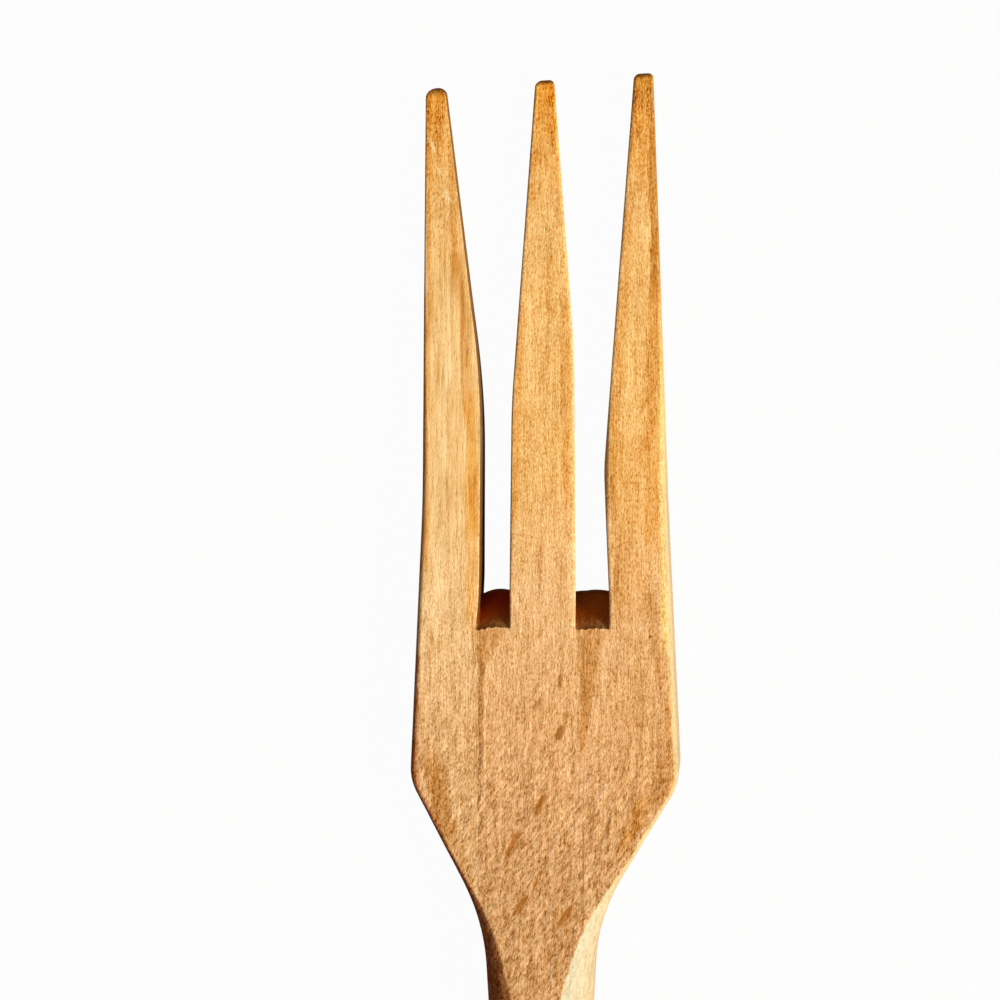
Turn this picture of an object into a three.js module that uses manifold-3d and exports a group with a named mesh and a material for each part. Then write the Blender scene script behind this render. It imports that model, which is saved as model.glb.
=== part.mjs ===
// A three-tined wooden serving fork: a handle stick with a cheek glued to each side.
// Sizes are in millimetres. X runs across the head, Y along the fork towards the tips,
// and Z up out of the planed front face. The fork lies on its flat back.
// X is 0 on the handle's axis, Y is 0 at the shoulders and Z is 0 on the back.
import * as THREE from "three";
import { mergeVertices } from "three/addons/utils/BufferGeometryUtils.js";
import Module from "manifold-3d";

// Lengths along the fork, measured from the shoulders
const HEAD_LENGTH = 132.2; // up to the tips
const HANDLE_LENGTH = 187; // down to the butt
const SHOULDER_LENGTH = 26.7; // down to where the shoulders reach the neck
const HANDLE_START = 92; // down to where the neck has thinned to the handle
const FACE_START = 60; // down to where the planed front face begins
const SIDE_BEND = 53; // up to the slight bend in the head's sides

// Sizes across the fork
const HANDLE_DIAMETER = 16.4;
const LEFT_NECK = 10.7; // from the axis to the neck's left side below the shoulders
const RIGHT_NECK = 10.9;
const LEFT_SHOULDER = 24.6; // from the axis to the left shoulder's corner
const RIGHT_SHOULDER = 26.7;
const LEFT_SIDE = 22.3; // from the axis to the head's left side at the bend
const RIGHT_SIDE = 24.1;
const LEFT_TIP_WIDTH = 4;
const TIP_WIDTH = 3.6; // of the centre and the right tine
const LEFT_TIP_X = -19.6;
const CENTRE_TIP_X = 0.9;
const RIGHT_TIP_X = 19.3;
const TIP_THICKNESS = 5;
const TIP_SLANT = 4; // degrees that the line of the tips leans, lower at the left

// Rounding
const SHOULDER_ROUND = 10;
const NECK_ROUND = 45; // hollow sweep from the shoulder into the neck
const HANDLE_ROUND = 100; // hollow sweep from the neck into the handle
const SIDE_ROUND = 300;
const BUTT_FLAT = 2.4; // width left flat on the end of the rounded butt
const TIP_ROUND = 1.2;
const TIP_NIP = 0.7; // taken off the inner corners of the tips
const EDGE_ROUND = 1.1; // rounded edges of the head
const ROUNDING_START = 15; // below the shoulders, where the back edges begin to round up
const ROUNDING_END = 70; // below the shoulders, where the section is fully round
const ARRIS_START = 17.5; // below the shoulders, where the front edges begin to widen
const ARRIS_END = 66; // below the shoulders, where the widened front edges meet on the axis
const ARRIS_ANGLE = 32; // degrees at which a widened front edge meets the planed face
const ARRIS_BOW = 1.3; // above 1, the front edges widen slowly at first
const ARRIS_FLATNESS = 0.78; // depth of a widened front edge for its width

// The glued joints, and the slots sawn beside them
const GLUE_THICKNESS = 0.2;
const LEFT_RIP = 3; // stick left standing outside the handle, on its left
const RIGHT_RIP = 0.4;
const LEFT_CUT = 0.4; // the left slot bites this far past its joint into the cheek
const RIGHT_CUT = 1.6; // the right slot bites this far past its joint into the stick
const LEFT_SLOT = 6;
const RIGHT_SLOT = 6.3;
const SLOT_FLOOR = 28.8; // above the shoulders, on the front face
const FLOOR_SLANT = 25.9; // degrees that a slot's floor climbs towards the back
const FLOOR_RISE = 0.5; // crown in the middle of a slot's floor
const LEFT_LEAN = 2.7; // degrees that the left tine's inner wall leans in towards the back
const CENTRE_LEAN = -3.5; // degrees that the centre tine's right wall leans in; below 0 it is undercut
const TIP_LEAN = -3.5; // degrees that both of those walls lean in near the tips
const LEAN_START = 60; // above the shoulders, where the walls begin to turn to that lean
const LEAN_END = 92;
const CENTRE_WAIST = 11.8; // width of the centre tine where it begins to taper
const RIGHT_SWELL = 1; // how far the right tine swells into its slot where it begins to taper
const LEFT_TAPER = 79; // above the shoulders, where the left tine begins to taper
const CENTRE_LEFT_TAPER = 72;
const CENTRE_RIGHT_TAPER = 82;
const RIGHT_TAPER = 62;
const TAPER_ROUND = 170;

// Fineness of the surfaces
const ARC_STEPS = 5;
const CORNER_STEPS = 6; // facets in a quarter of a rounded edge
const STATION_GAP = 0.25; // least distance between sections
const LEAST_CLIMB = 0.000001; // points of an outline that climb less than this are one point
const NECK_STATIONS = 16; // sections along the stretch where the edges round up
const FULL_ROUND = 0.49; // a rounded edge takes at most this share of its section
const ARRIS_SHARPENS = [0.4, 1.6]; // shares of the arris's start between which it sharpens
const ARRIS_FADES = 0.62; // share of the arris's end from which it fades

const SAW_CLEARANCE = 4; // how far a cutting shape reaches past the wood
const LEAST_EDGE = 0.01; // edges shorter than this are merged after cutting

const wasm = await Module();
wasm.setup();

const handleRadius = HANDLE_DIAMETER / 2;
const buttRound = handleRadius - BUTT_FLAT / 2;
const tipRound = Math.min(TIP_ROUND, FULL_ROUND * TIP_THICKNESS, FULL_ROUND * TIP_WIDTH);
const tipSlope = Math.tan(THREE.MathUtils.degToRad(TIP_SLANT));
const leftJoint = -handleRadius - LEFT_RIP;
const rightJoint = handleRadius + RIGHT_RIP;

function solidFrom(geometry) {
  const bare = geometry.clone();
  bare.deleteAttribute("normal");
  bare.deleteAttribute("uv");
  const merged = mergeVertices(bare);
  const mesh = new wasm.Mesh({
    numProp: 3,
    vertProperties: merged.attributes.position.array,
    triVerts: new Uint32Array(merged.index.array),
  });
  return new wasm.Manifold(mesh);
}

function geometryFrom(solid) {
  const mesh = solid.getMesh();
  const geometry = new THREE.BufferGeometry();
  geometry.setAttribute("position", new THREE.BufferAttribute(mesh.vertProperties, 3));
  geometry.setIndex(new THREE.BufferAttribute(mesh.triVerts, 1));
  const faceted = geometry.toNonIndexed();
  faceted.computeVertexNormals();
  return faceted;
}

// A path through corners, each rounded by an arc that touches both of its sides.
function roundedPath(corners) {
  const path = new THREE.Path();
  path.moveTo(corners[0].x, corners[0].y);
  for (let i = 1; i < corners.length; i++) {
    const corner = new THREE.Vector2(corners[i].x, corners[i].y);
    const round = corners[i].round ?? 0;
    if (round === 0) {
      path.lineTo(corner.x, corner.y);
      continue;
    }
    const back = new THREE.Vector2(corners[i - 1].x, corners[i - 1].y).sub(corner).normalize();
    const ahead = new THREE.Vector2(corners[i + 1].x, corners[i + 1].y).sub(corner).normalize();
    const halfAngle = Math.acos(back.dot(ahead)) / 2;
    const reach = round / Math.tan(halfAngle);
    const start = corner.clone().addScaledVector(back, reach);
    const end = corner.clone().addScaledVector(ahead, reach);
    const middle = back.clone().add(ahead).normalize();
    const centre = corner.clone().addScaledVector(middle, round / Math.sin(halfAngle));
    const startAngle = start.clone().sub(centre).angle();
    const endAngle = end.clone().sub(centre).angle();
    path.lineTo(start.x, start.y);
    path.absarc(centre.x, centre.y, round, startAngle, endAngle, back.cross(ahead) > 0);
  }
  return path;
}

// One side of the fork seen from the front, as distances from the axis, from the butt to the tips.
function sideOutline(neck, shoulder, side, tip) {
  const path = roundedPath([
    { x: 0, y: -HANDLE_LENGTH },
    { x: handleRadius, y: -HANDLE_LENGTH, round: buttRound },
    { x: handleRadius, y: -HANDLE_START, round: HANDLE_ROUND },
    { x: neck, y: -SHOULDER_LENGTH, round: NECK_ROUND },
    { x: shoulder, y: 0, round: SHOULDER_ROUND },
    { x: side, y: SIDE_BEND, round: SIDE_ROUND },
    { x: tip, y: HEAD_LENGTH, round: tipRound },
    { x: 0, y: HEAD_LENGTH },
  ]);
  const points = path.getPoints(ARC_STEPS).slice(1, -1);
  return points.filter((point, i) => i === 0 || point.y - points[i - 1].y > LEAST_CLIMB);
}

const leftTip = LEFT_TIP_WIDTH / 2 - LEFT_TIP_X;
const rightTip = TIP_WIDTH / 2 + RIGHT_TIP_X;
const leftOutline = sideOutline(LEFT_NECK, LEFT_SHOULDER, LEFT_SIDE, leftTip);
const rightOutline = sideOutline(RIGHT_NECK, RIGHT_SHOULDER, RIGHT_SIDE, rightTip);

function distanceAt(outline, y) {
  let next = 1;
  while (next < outline.length - 1 && outline[next].y < y) {
    next += 1;
  }
  const from = outline[next - 1];
  const to = outline[next];
  return THREE.MathUtils.mapLinear(y, from.y, to.y, from.x, to.x);
}

// Height of the front face: the handle's full height, planed down in one slope to the tips.
function faceHeight(y) {
  const planed = Math.max(y, -FACE_START);
  return THREE.MathUtils.mapLinear(planed, -FACE_START, HEAD_LENGTH, HANDLE_DIAMETER, TIP_THICKNESS);
}

// How far a rounded end draws in, at a distance from that end.
function endInset(distance, round) {
  const left = THREE.MathUtils.clamp(round - distance, 0, round);
  return round - Math.sqrt(round * round - left * left);
}

// Steps of a rounded edge from a side of the section to its face. It leaves the side upright
// and meets the face at the arris's angle, or smoothly where that angle is 0.
function roundedEdge(across, down, arris) {
  const steps = [];
  for (let step = 0; step <= CORNER_STEPS; step++) {
    const angle = ((Math.PI / 2 - arris) * step) / CORNER_STEPS;
    const inset = across * (1 - Math.cos(angle));
    const drop = down * (Math.cos(arris) - Math.sin(angle));
    steps.push({ inset, drop });
  }
  return steps;
}

// A front edge: a little rounded on the head, then a round-over that widens down the neck to the
// axis and meets the planed face at an arris, which fades out where the section is round.
function frontEdge(y, half, deepest) {
  const down = -y;
  const share = THREE.MathUtils.clamp((down - ARRIS_START) / (ARRIS_END - ARRIS_START), 0, 1);
  const width = THREE.MathUtils.lerp(EDGE_ROUND, half, share ** ARRIS_BOW);
  const [sharpensFrom, sharpensTo] = ARRIS_SHARPENS;
  const sharp = THREE.MathUtils.smoothstep(down, sharpensFrom * ARRIS_START, sharpensTo * ARRIS_START);
  const faded = THREE.MathUtils.smoothstep(down, ARRIS_FADES * ARRIS_END, ARRIS_END);
  const crisp = sharp * (1 - faded);
  const arris = THREE.MathUtils.degToRad(ARRIS_ANGLE) * crisp;
  const across = Math.min(width, 2 * FULL_ROUND * half) / (1 - Math.sin(arris));
  const flatness = THREE.MathUtils.lerp(1, ARRIS_FLATNESS, crisp);
  const drop = Math.min(across * flatness, deepest / Math.cos(arris));
  return roundedEdge(across, drop, arris);
}

// The section at one place along the fork: a rectangle whose edges are rounded a little
// on the head, more and more down the neck, and all the way on the handle.
function section(y) {
  const inset = endInset(HEAD_LENGTH - y, tipRound) + endInset(y + HANDLE_LENGTH, buttRound);
  const left = -distanceAt(leftOutline, y);
  const right = distanceAt(rightOutline, y);
  const bottom = inset;
  const top = faceHeight(y) - inset;
  const grown = THREE.MathUtils.smoothstep(-y, ROUNDING_START, ROUNDING_END);
  const wanted = THREE.MathUtils.lerp(EDGE_ROUND, handleRadius, grown);
  const round = Math.min(wanted, FULL_ROUND * (right - left), FULL_ROUND * (top - bottom));
  const deepest = 2 * FULL_ROUND * (top - bottom) - round;
  const back = roundedEdge(round, round, 0);
  const leftFront = frontEdge(y, -left, deepest);
  const rightFront = frontEdge(y, right, deepest);
  const ring = [
    ...back.toReversed().map((step) => [right - step.inset, bottom + step.drop]),
    ...rightFront.map((step) => [right - step.inset, top - step.drop]),
    ...leftFront.toReversed().map((step) => [left + step.inset, top - step.drop]),
    ...back.map((step) => [left + step.inset, bottom + step.drop]),
  ];
  const lean = tipSlope * THREE.MathUtils.clamp((y - SLOT_FLOOR) / (HEAD_LENGTH - SLOT_FLOOR), 0, 1);
  return ring.flatMap(([x, z]) => [x, y + lean * x, z]);
}

// Places along the fork that get a section: the bends of both outlines and the neck's rounding.
function stations() {
  const places = [...leftOutline, ...rightOutline].map((point) => point.y);
  places.push(-FACE_START, SLOT_FLOOR);
  for (let i = 0; i <= NECK_STATIONS; i++) {
    places.push(-THREE.MathUtils.lerp(ARRIS_SHARPENS[0] * ARRIS_START, ROUNDING_END, i / NECK_STATIONS));
  }
  places.sort((a, b) => a - b);
  const last = places.pop();
  const kept = [places[0]];
  for (const place of places) {
    if (place - kept.at(-1) > STATION_GAP && last - place > STATION_GAP) {
      kept.push(place);
    }
  }
  return [...kept, last];
}

// A closed solid through rings of equal length that follow one another along Y.
function loft(rings) {
  const count = rings[0].length / 3;
  const positions = rings.flat();
  const index = [];
  for (let ring = 0; ring < rings.length - 1; ring++) {
    for (let i = 0; i < count; i++) {
      const a = ring * count + i;
      const b = ring * count + ((i + 1) % count);
      index.push(a, a + count, b);
      index.push(b, a + count, b + count);
    }
  }
  const lastRing = (rings.length - 1) * count;
  for (let i = 1; i < count - 1; i++) {
    index.push(0, i, i + 1);
    index.push(lastRing, lastRing + i + 1, lastRing + i);
  }
  const geometry = new THREE.BufferGeometry();
  geometry.setAttribute("position", new THREE.Float32BufferAttribute(positions, 3));
  geometry.setIndex(index);
  return geometry;
}

// Cutting shape of a slot, from its crowned floor to past the tips.
// left and right describe the tine edges that it makes: x at the floor, at the taper and at the tip.
// Above each tip's corner the shape leans over the end of the tine, which nips the corner off.
function slotCutter(left, right) {
  const mouth = HEAD_LENGTH + SAW_CLEARANCE;
  const leftEdge = left.tip + left.tipWidth / 2;
  const rightEdge = right.tip - right.tipWidth / 2;
  const leftNip = HEAD_LENGTH + tipSlope * leftEdge - TIP_NIP;
  const rightNip = HEAD_LENGTH + tipSlope * rightEdge - TIP_NIP;
  const over = Math.min(left.tipWidth, right.tipWidth) / 2;
  const outline = roundedPath([
    { x: right.floor, y: SLOT_FLOOR },
    { x: right.waist, y: right.taper, round: TAPER_ROUND },
    { x: rightEdge, y: rightNip, round: tipRound },
    { x: rightEdge + over, y: rightNip + over },
    { x: rightEdge + over, y: mouth },
    { x: leftEdge - over, y: mouth },
    { x: leftEdge - over, y: leftNip + over },
    { x: leftEdge, y: leftNip, round: tipRound },
    { x: left.waist, y: left.taper, round: TAPER_ROUND },
    { x: left.floor, y: SLOT_FLOOR },
  ]);
  const half = (right.floor - left.floor) / 2;
  const radius = (half * half + FLOOR_RISE * FLOOR_RISE) / (2 * FLOOR_RISE);
  const spread = Math.asin(half / radius);
  const crown = SLOT_FLOOR + FLOOR_RISE;
  const above = Math.PI / 2;
  outline.absarc(left.floor + half, crown - radius, radius, above + spread, above - spread, true);
  const height = HANDLE_DIAMETER + 2 * SAW_CLEARANCE;
  const shape = new THREE.Shape(outline.getPoints(ARC_STEPS));
  const geometry = new THREE.ExtrudeGeometry(shape, { depth: height, bevelEnabled: false });
  geometry.translate(0, 0, -SAW_CLEARANCE);
  const climb = Math.tan(THREE.MathUtils.degToRad(FLOOR_SLANT));
  const position = geometry.attributes.position;
  for (let i = 0; i < position.count; i++) {
    const x = position.getX(i);
    const y = position.getY(i);
    const depth = faceHeight(y) - position.getZ(i);
    const leftward = THREE.MathUtils.clamp((left.floor + half - x) / half, 0, 1);
    const turned = THREE.MathUtils.smoothstep(y, LEAN_START, LEAN_END);
    const lean = THREE.MathUtils.degToRad(THREE.MathUtils.lerp(left.lean, TIP_LEAN, turned));
    position.setX(i, x + Math.tan(lean) * depth * leftward);
    if (y <= crown) {
      position.setY(i, y + climb * depth);
    }
  }
  return solidFrom(geometry);
}

// The two slots, each tied to the joint that it is sawn along.
const leftSlotOuter = leftJoint - LEFT_CUT;
const leftSlotInner = leftSlotOuter + LEFT_SLOT;
const rightSlotInner = rightJoint - RIGHT_CUT;
const rightSlotOuter = rightSlotInner + RIGHT_SLOT;
const centreMiddle = (leftSlotInner + rightSlotInner) / 2;
const leftTine = {
  floor: leftSlotOuter,
  waist: leftSlotOuter,
  taper: LEFT_TAPER,
  tip: LEFT_TIP_X,
  tipWidth: LEFT_TIP_WIDTH,
  lean: LEFT_LEAN,
};
const centreTineLeft = {
  floor: leftSlotInner,
  waist: centreMiddle - CENTRE_WAIST / 2,
  taper: CENTRE_LEFT_TAPER,
  tip: CENTRE_TIP_X,
  tipWidth: TIP_WIDTH,
};
const centreTineRight = {
  floor: rightSlotInner,
  waist: centreMiddle + CENTRE_WAIST / 2,
  taper: CENTRE_RIGHT_TAPER,
  tip: CENTRE_TIP_X,
  tipWidth: TIP_WIDTH,
  lean: CENTRE_LEAN,
};
const rightTine = {
  floor: rightSlotOuter,
  waist: rightSlotOuter - RIGHT_SWELL,
  taper: RIGHT_TAPER,
  tip: RIGHT_TIP_X,
  tipWidth: TIP_WIDTH,
};

const blank = solidFrom(loft(stations().map(section)));
const fork = blank
  .subtract(slotCutter(leftTine, centreTineLeft))
  .subtract(slotCutter(centreTineRight, rightTine))
  .asOriginal()
  .simplify(LEAST_EDGE);

// The part of the fork between two planes across it.
function between(fromX, toX) {
  const length = HEAD_LENGTH + HANDLE_LENGTH + 2 * SAW_CLEARANCE;
  const slab = new THREE.BoxGeometry(toX - fromX, length, HANDLE_DIAMETER + 2 * SAW_CLEARANCE);
  const middleY = (HEAD_LENGTH - HANDLE_LENGTH) / 2;
  slab.translate((fromX + toX) / 2, middleY, handleRadius);
  return fork.intersect(solidFrom(slab)).asOriginal().simplify(LEAST_EDGE);
}

function woodMaterial(color) {
  return new THREE.MeshStandardMaterial({ color, roughness: 0.62, metalness: 0 });
}

function glueMaterial() {
  return new THREE.MeshStandardMaterial({ color: 0x5a3414, roughness: 0.55, metalness: 0 });
}

const leftLimit = -LEFT_SHOULDER - SAW_CLEARANCE;
const rightLimit = RIGHT_SHOULDER + SAW_CLEARANCE;
const halfGlue = GLUE_THICKNESS / 2;

const wholeFork = new THREE.Group();
wholeFork.name = "wooden_fork";

function addPiece(name, fromX, toX, material) {
  const piece = new THREE.Mesh(geometryFrom(between(fromX, toX)), material);
  piece.name = name;
  wholeFork.add(piece);
}

addPiece("left_cheek", leftLimit, leftJoint - halfGlue, woodMaterial(0xdca368));
addPiece("left_glue_line", leftJoint - halfGlue, leftJoint + halfGlue, glueMaterial());
addPiece("handle_stick", leftJoint + halfGlue, rightJoint - halfGlue, woodMaterial(0xd99f63));
addPiece("right_glue_line", rightJoint - halfGlue, rightJoint + halfGlue, glueMaterial());
addPiece("right_cheek", rightJoint + halfGlue, rightLimit, woodMaterial(0xdaa166));

export default wholeFork;
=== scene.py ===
import math

import bpy
import numpy as np
from bpy.props import FloatProperty, FloatVectorProperty, PointerProperty
from mathutils import Matrix, Vector


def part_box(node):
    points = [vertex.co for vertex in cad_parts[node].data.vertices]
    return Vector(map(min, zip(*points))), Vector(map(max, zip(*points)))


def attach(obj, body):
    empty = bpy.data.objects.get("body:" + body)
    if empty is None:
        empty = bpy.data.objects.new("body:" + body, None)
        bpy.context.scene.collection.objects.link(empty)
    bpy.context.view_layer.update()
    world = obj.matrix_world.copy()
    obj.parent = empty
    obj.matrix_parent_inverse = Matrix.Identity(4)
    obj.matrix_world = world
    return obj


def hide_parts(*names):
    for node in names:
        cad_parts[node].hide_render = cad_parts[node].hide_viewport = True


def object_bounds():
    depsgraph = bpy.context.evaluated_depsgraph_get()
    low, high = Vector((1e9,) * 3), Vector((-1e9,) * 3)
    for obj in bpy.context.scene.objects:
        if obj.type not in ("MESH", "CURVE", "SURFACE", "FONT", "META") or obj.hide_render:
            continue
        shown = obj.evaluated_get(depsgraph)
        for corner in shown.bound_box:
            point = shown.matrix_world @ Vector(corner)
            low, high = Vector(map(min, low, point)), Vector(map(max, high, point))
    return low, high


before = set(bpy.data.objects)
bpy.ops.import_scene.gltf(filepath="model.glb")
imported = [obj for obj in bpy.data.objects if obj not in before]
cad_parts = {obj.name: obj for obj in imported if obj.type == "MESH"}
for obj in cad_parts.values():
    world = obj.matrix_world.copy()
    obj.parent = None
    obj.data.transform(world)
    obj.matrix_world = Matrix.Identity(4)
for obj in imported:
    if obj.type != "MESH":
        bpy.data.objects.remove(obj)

bl_info = {
    "name": "Wooden Fork",
    "version": (1, 0, 0),
    "blender": (4, 5, 0),
    "location": "View3D > Sidebar > Fork",
    "description": "Carves a three-tined wooden fork from a handle stick and two glued cheeks",
    "category": "Add Mesh",
}

MM = 0.001
CAD_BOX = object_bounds()
STICK_LOW, STICK_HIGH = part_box("handle_stick")
LEFT_FILM = [corner.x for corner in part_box("left_glue_line")]
RIGHT_FILM = [corner.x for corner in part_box("right_glue_line")]

# Fineness of the meshes
STICK_POINTS = (96, 48)  # across the front and the back of a section
CHEEK_POINTS = (72, 40)
FILM_POINTS = (2, 2)
WALL_POINTS = 8
ARC_STEPS = 24
SWEEP_ROWS = 24  # sections across a slot's floor
HANDLE_STEP = 1.3 * MM  # between sections
NECK_STEP = 0.6 * MM
HEAD_STEP = 0.42 * MM
TINE_STEP = 0.5 * MM
FLOOR_STEP = 0.02 * MM
HEAD_START = -45 * MM  # place along the fork where the head's step begins

# Worn front edges of the sawn sides: width and drop
STICK_LEFT_ARRIS = (0.5 * MM, 0.4 * MM)
STICK_RIGHT_ARRIS = (0.6 * MM, 0.4 * MM)
LEFT_CHEEK_ARRIS = (0.2 * MM, 0.06 * MM)
RIGHT_CHEEK_ARRIS = (0.7 * MM, 0.4 * MM)
SWELL_WEAR = 3.0  # how far the right tine's arris deepens where the tine is widest
SWELL_LENGTH = 8 * MM  # half the length over which it does

# Reaches, and spans over which something begins or ends
FINE_CORNER = (-14 * MM, 2 * MM)  # down from the shoulders, where the right edge gets finer
ROUGH_HEAD = (-24 * MM, 10 * MM)  # down from the shoulders, where the scraping begins
FLOOR_FADE = (0.5 * MM, 1.5 * MM)  # above a slot's floor, where its worn edge ends
CLIMB_REACH = 20 * MM  # each side of the floors, where sections lean with them
RAGGED_REACH = 0.3 * MM  # from a slot's wall into a floor's torn edge
TIP_BAND = 0.6 * MM  # end grain at the tips
FEATHER = 0.3 * MM  # above the place where a joint runs out into the neck
LEFT_FEATHER = 0.05 * MM  # the same for the left cheek


# Settings that a user would change

def length(name, description, default):
    """A length in metres."""
    return FloatProperty(name=name, description=description, default=default, unit="LENGTH", precision=4)


def angle(name, description, degrees):
    """An angle, given in degrees."""
    return FloatProperty(name=name, description=description, default=math.radians(degrees), subtype="ANGLE")


def colour(name, description, red, green, blue):
    """A colour written as it looks on a screen, from 0 to 255, kept as a linear colour."""
    shown = np.array([red, green, blue]) / 255
    linear = np.where(shown > 0.04045, ((shown + 0.055) / 1.055) ** 2.4, shown / 12.92)
    return FloatVectorProperty(
        name=name, description=description, default=linear.tolist(), subtype="COLOR", min=0, max=1
    )


class ForkSizes(bpy.types.PropertyGroup):
    """Sizes of the fork in its own frame: X across, Y to the tips from the shoulders, Z up from the back."""

    head_length: length("Head length", "Shoulders up to the tips", 132.25 * MM)
    handle_length: length("Handle length", "Shoulders down to the butt", -STICK_LOW.y)
    shoulder_length: length("Shoulder length", "Down to where the shoulders reach the neck", 26.7 * MM)
    handle_start: length("Handle start", "Down to where the neck has thinned to the handle", 92 * MM)
    face_start: length("Face start", "Down to where the planed face begins", 60 * MM)
    side_bend: length("Side bend", "Up to the slight bend in the head's sides", 53 * MM)
    handle_diameter: length("Handle diameter", "Thickness of the round handle", STICK_HIGH.z)
    left_neck: length("Left neck", "Axis to the neck's left side below the shoulders", 10.7 * MM)
    right_neck: length("Right neck", "Axis to the neck's right side below the shoulders", 10.95 * MM)
    left_shoulder: length("Left shoulder", "Axis to the left shoulder's corner", 24.6 * MM)
    right_shoulder: length("Right shoulder", "Axis to the right shoulder's corner", 26.75 * MM)
    left_side: length("Left side", "Axis to the left side at the bend", 22.18 * MM)
    right_side: length("Right side", "Axis to the right side at the bend", 24.1 * MM)
    tip_width: length("Tip width", "Width of the centre and right tines at their tips", 3.55 * MM)
    left_tip_width: length("Left tip width", "Width of the left tine at its tip", 3.45 * MM)
    left_tip: length("Left tip", "Place of the left tip across the head", -19.68 * MM)
    centre_tip: length("Centre tip", "Place of the centre tip across the head", 0.93 * MM)
    right_tip: length("Right tip", "Place of the right tip across the head", 19.3 * MM)
    tip_thickness: length("Tip thickness", "Thickness of the tines at their tips", 5 * MM)
    tip_slant: angle("Tip slant", "Lean of the line of the tips", 4)
    shoulder_round: length("Shoulder round", "Radius of the shoulders' corners", 10 * MM)
    neck_round: length("Neck round", "Hollow sweep from shoulder to neck", 45 * MM)
    handle_round: length("Handle round", "Hollow sweep from neck to handle", 100 * MM)
    side_round: length("Side round", "Radius of the bend in the sides", 300 * MM)
    butt_round: length("Butt round", "Radius of the handle's domed end", 7 * MM)
    tip_round: length("Tip round", "Radius of the blunted tips", 0.95 * MM)
    left_tip_round: length("Left tip round", "Radius of the left tine's blunter tip", 1.6 * MM)
    left_edge: length("Left edge", "Rounding of the head's left edge at the shoulder", 1.05 * MM)
    left_tip_edge: length("Left tip edge", "Rounding of the left tine's outer edge at its tip", 0.35 * MM)
    right_edge: length("Right edge", "Rounding of the head's right edge above the shoulder", 1.5 * MM)
    right_corner_edge: length("Right corner edge", "Rounding of the right edge on the shoulder", 1.05 * MM)
    right_tip_edge: length("Right tip edge", "Rounding of the right tine's outer edge at its tip", 0.1 * MM)
    back_edge: length("Back edge", "Rounding of the head's back edges", 1.1 * MM)
    left_arris: length("Left arris", "Down to where the left front edge begins to widen", 18 * MM)
    right_arris: length("Right arris", "Down to where the right front edge begins to widen", 17 * MM)
    arris_end: length("Arris end", "Down to where the left front edge meets the axis", 66 * MM)
    right_arris_end: length("Right arris end", "Down to where the right front edge meets the axis", 56 * MM)
    arris_angle: angle("Arris angle", "Slope at which the rounded neck meets the planed face", 32)
    back_round_start: length("Back round start", "Down to where the back begins to round", 15 * MM)
    back_round_end: length("Back round end", "Down to where the back is fully round", 70 * MM)
    left_slot: length("Left slot", "Width of the left slot above its flare", 5.75 * MM)
    right_slot: length("Right slot", "Width of the right slot at its floor", 6.35 * MM)
    left_cut: length("Left cut", "Bite of the left slot past its joint into the cheek", 0.15 * MM)
    left_flare: length("Left flare", "Flare of the left slot into the cheek at its floor", 0.7 * MM)
    flare_length: length("Flare length", "Length of that flare", 6.5 * MM)
    flare_round: length("Flare round", "Radius of the bend where that flare begins", 80 * MM)
    right_cut: length("Right cut", "Bite of the right slot past its joint into the stick", 1.65 * MM)
    slot_floor: length("Slot floor", "Shoulders up to the slots' floors on the face", 28.95 * MM)
    floor_slant: angle("Floor slant", "Climb of the slots' floors towards the back", 25.6)
    front_crown: length("Front crown", "Rise in the middle of a floor at the face", 0.45 * MM)
    back_crown: length("Back crown", "Rise in the middle of a floor at the back", 0.65 * MM)
    left_lean: angle("Left lean", "Lean of the left tine's inner wall towards the back, at its floor", 1.2)
    centre_lean: angle("Centre lean", "Lean of the centre tine's right wall towards the back", -3.5)
    left_tip_lean: angle("Left tip lean", "Lean of the left tine's inner wall near its tip", -1.5)
    centre_waist: length("Centre waist", "Width of the centre tine where it begins to taper", 11.8 * MM)
    left_swell: length("Left swell", "Swell of the left tine into its slot", 0.35 * MM)
    right_swell: length("Right swell", "Swell of the right tine into its slot", 1.12 * MM)
    swell_round: length("Swell round", "Radius of the right tine's swell", 40 * MM)
    left_taper: length("Left taper", "Up to where the left tine tapers", 75 * MM)
    centre_left_taper: length("Centre left taper", "Up to the taper of the centre tine's left", 72 * MM)
    centre_right_taper: length("Centre right taper", "Up to the taper of the centre tine's right", 82 * MM)
    right_taper: length("Right taper", "Up to where the right tine tapers", 59.5 * MM)
    taper_round: length("Taper round", "Radius of the bend where a tine tapers", 170 * MM)
    floor_arris: length("Floor arris", "Wear on the front edge of a slot's floor", 0.05 * MM)


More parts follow.
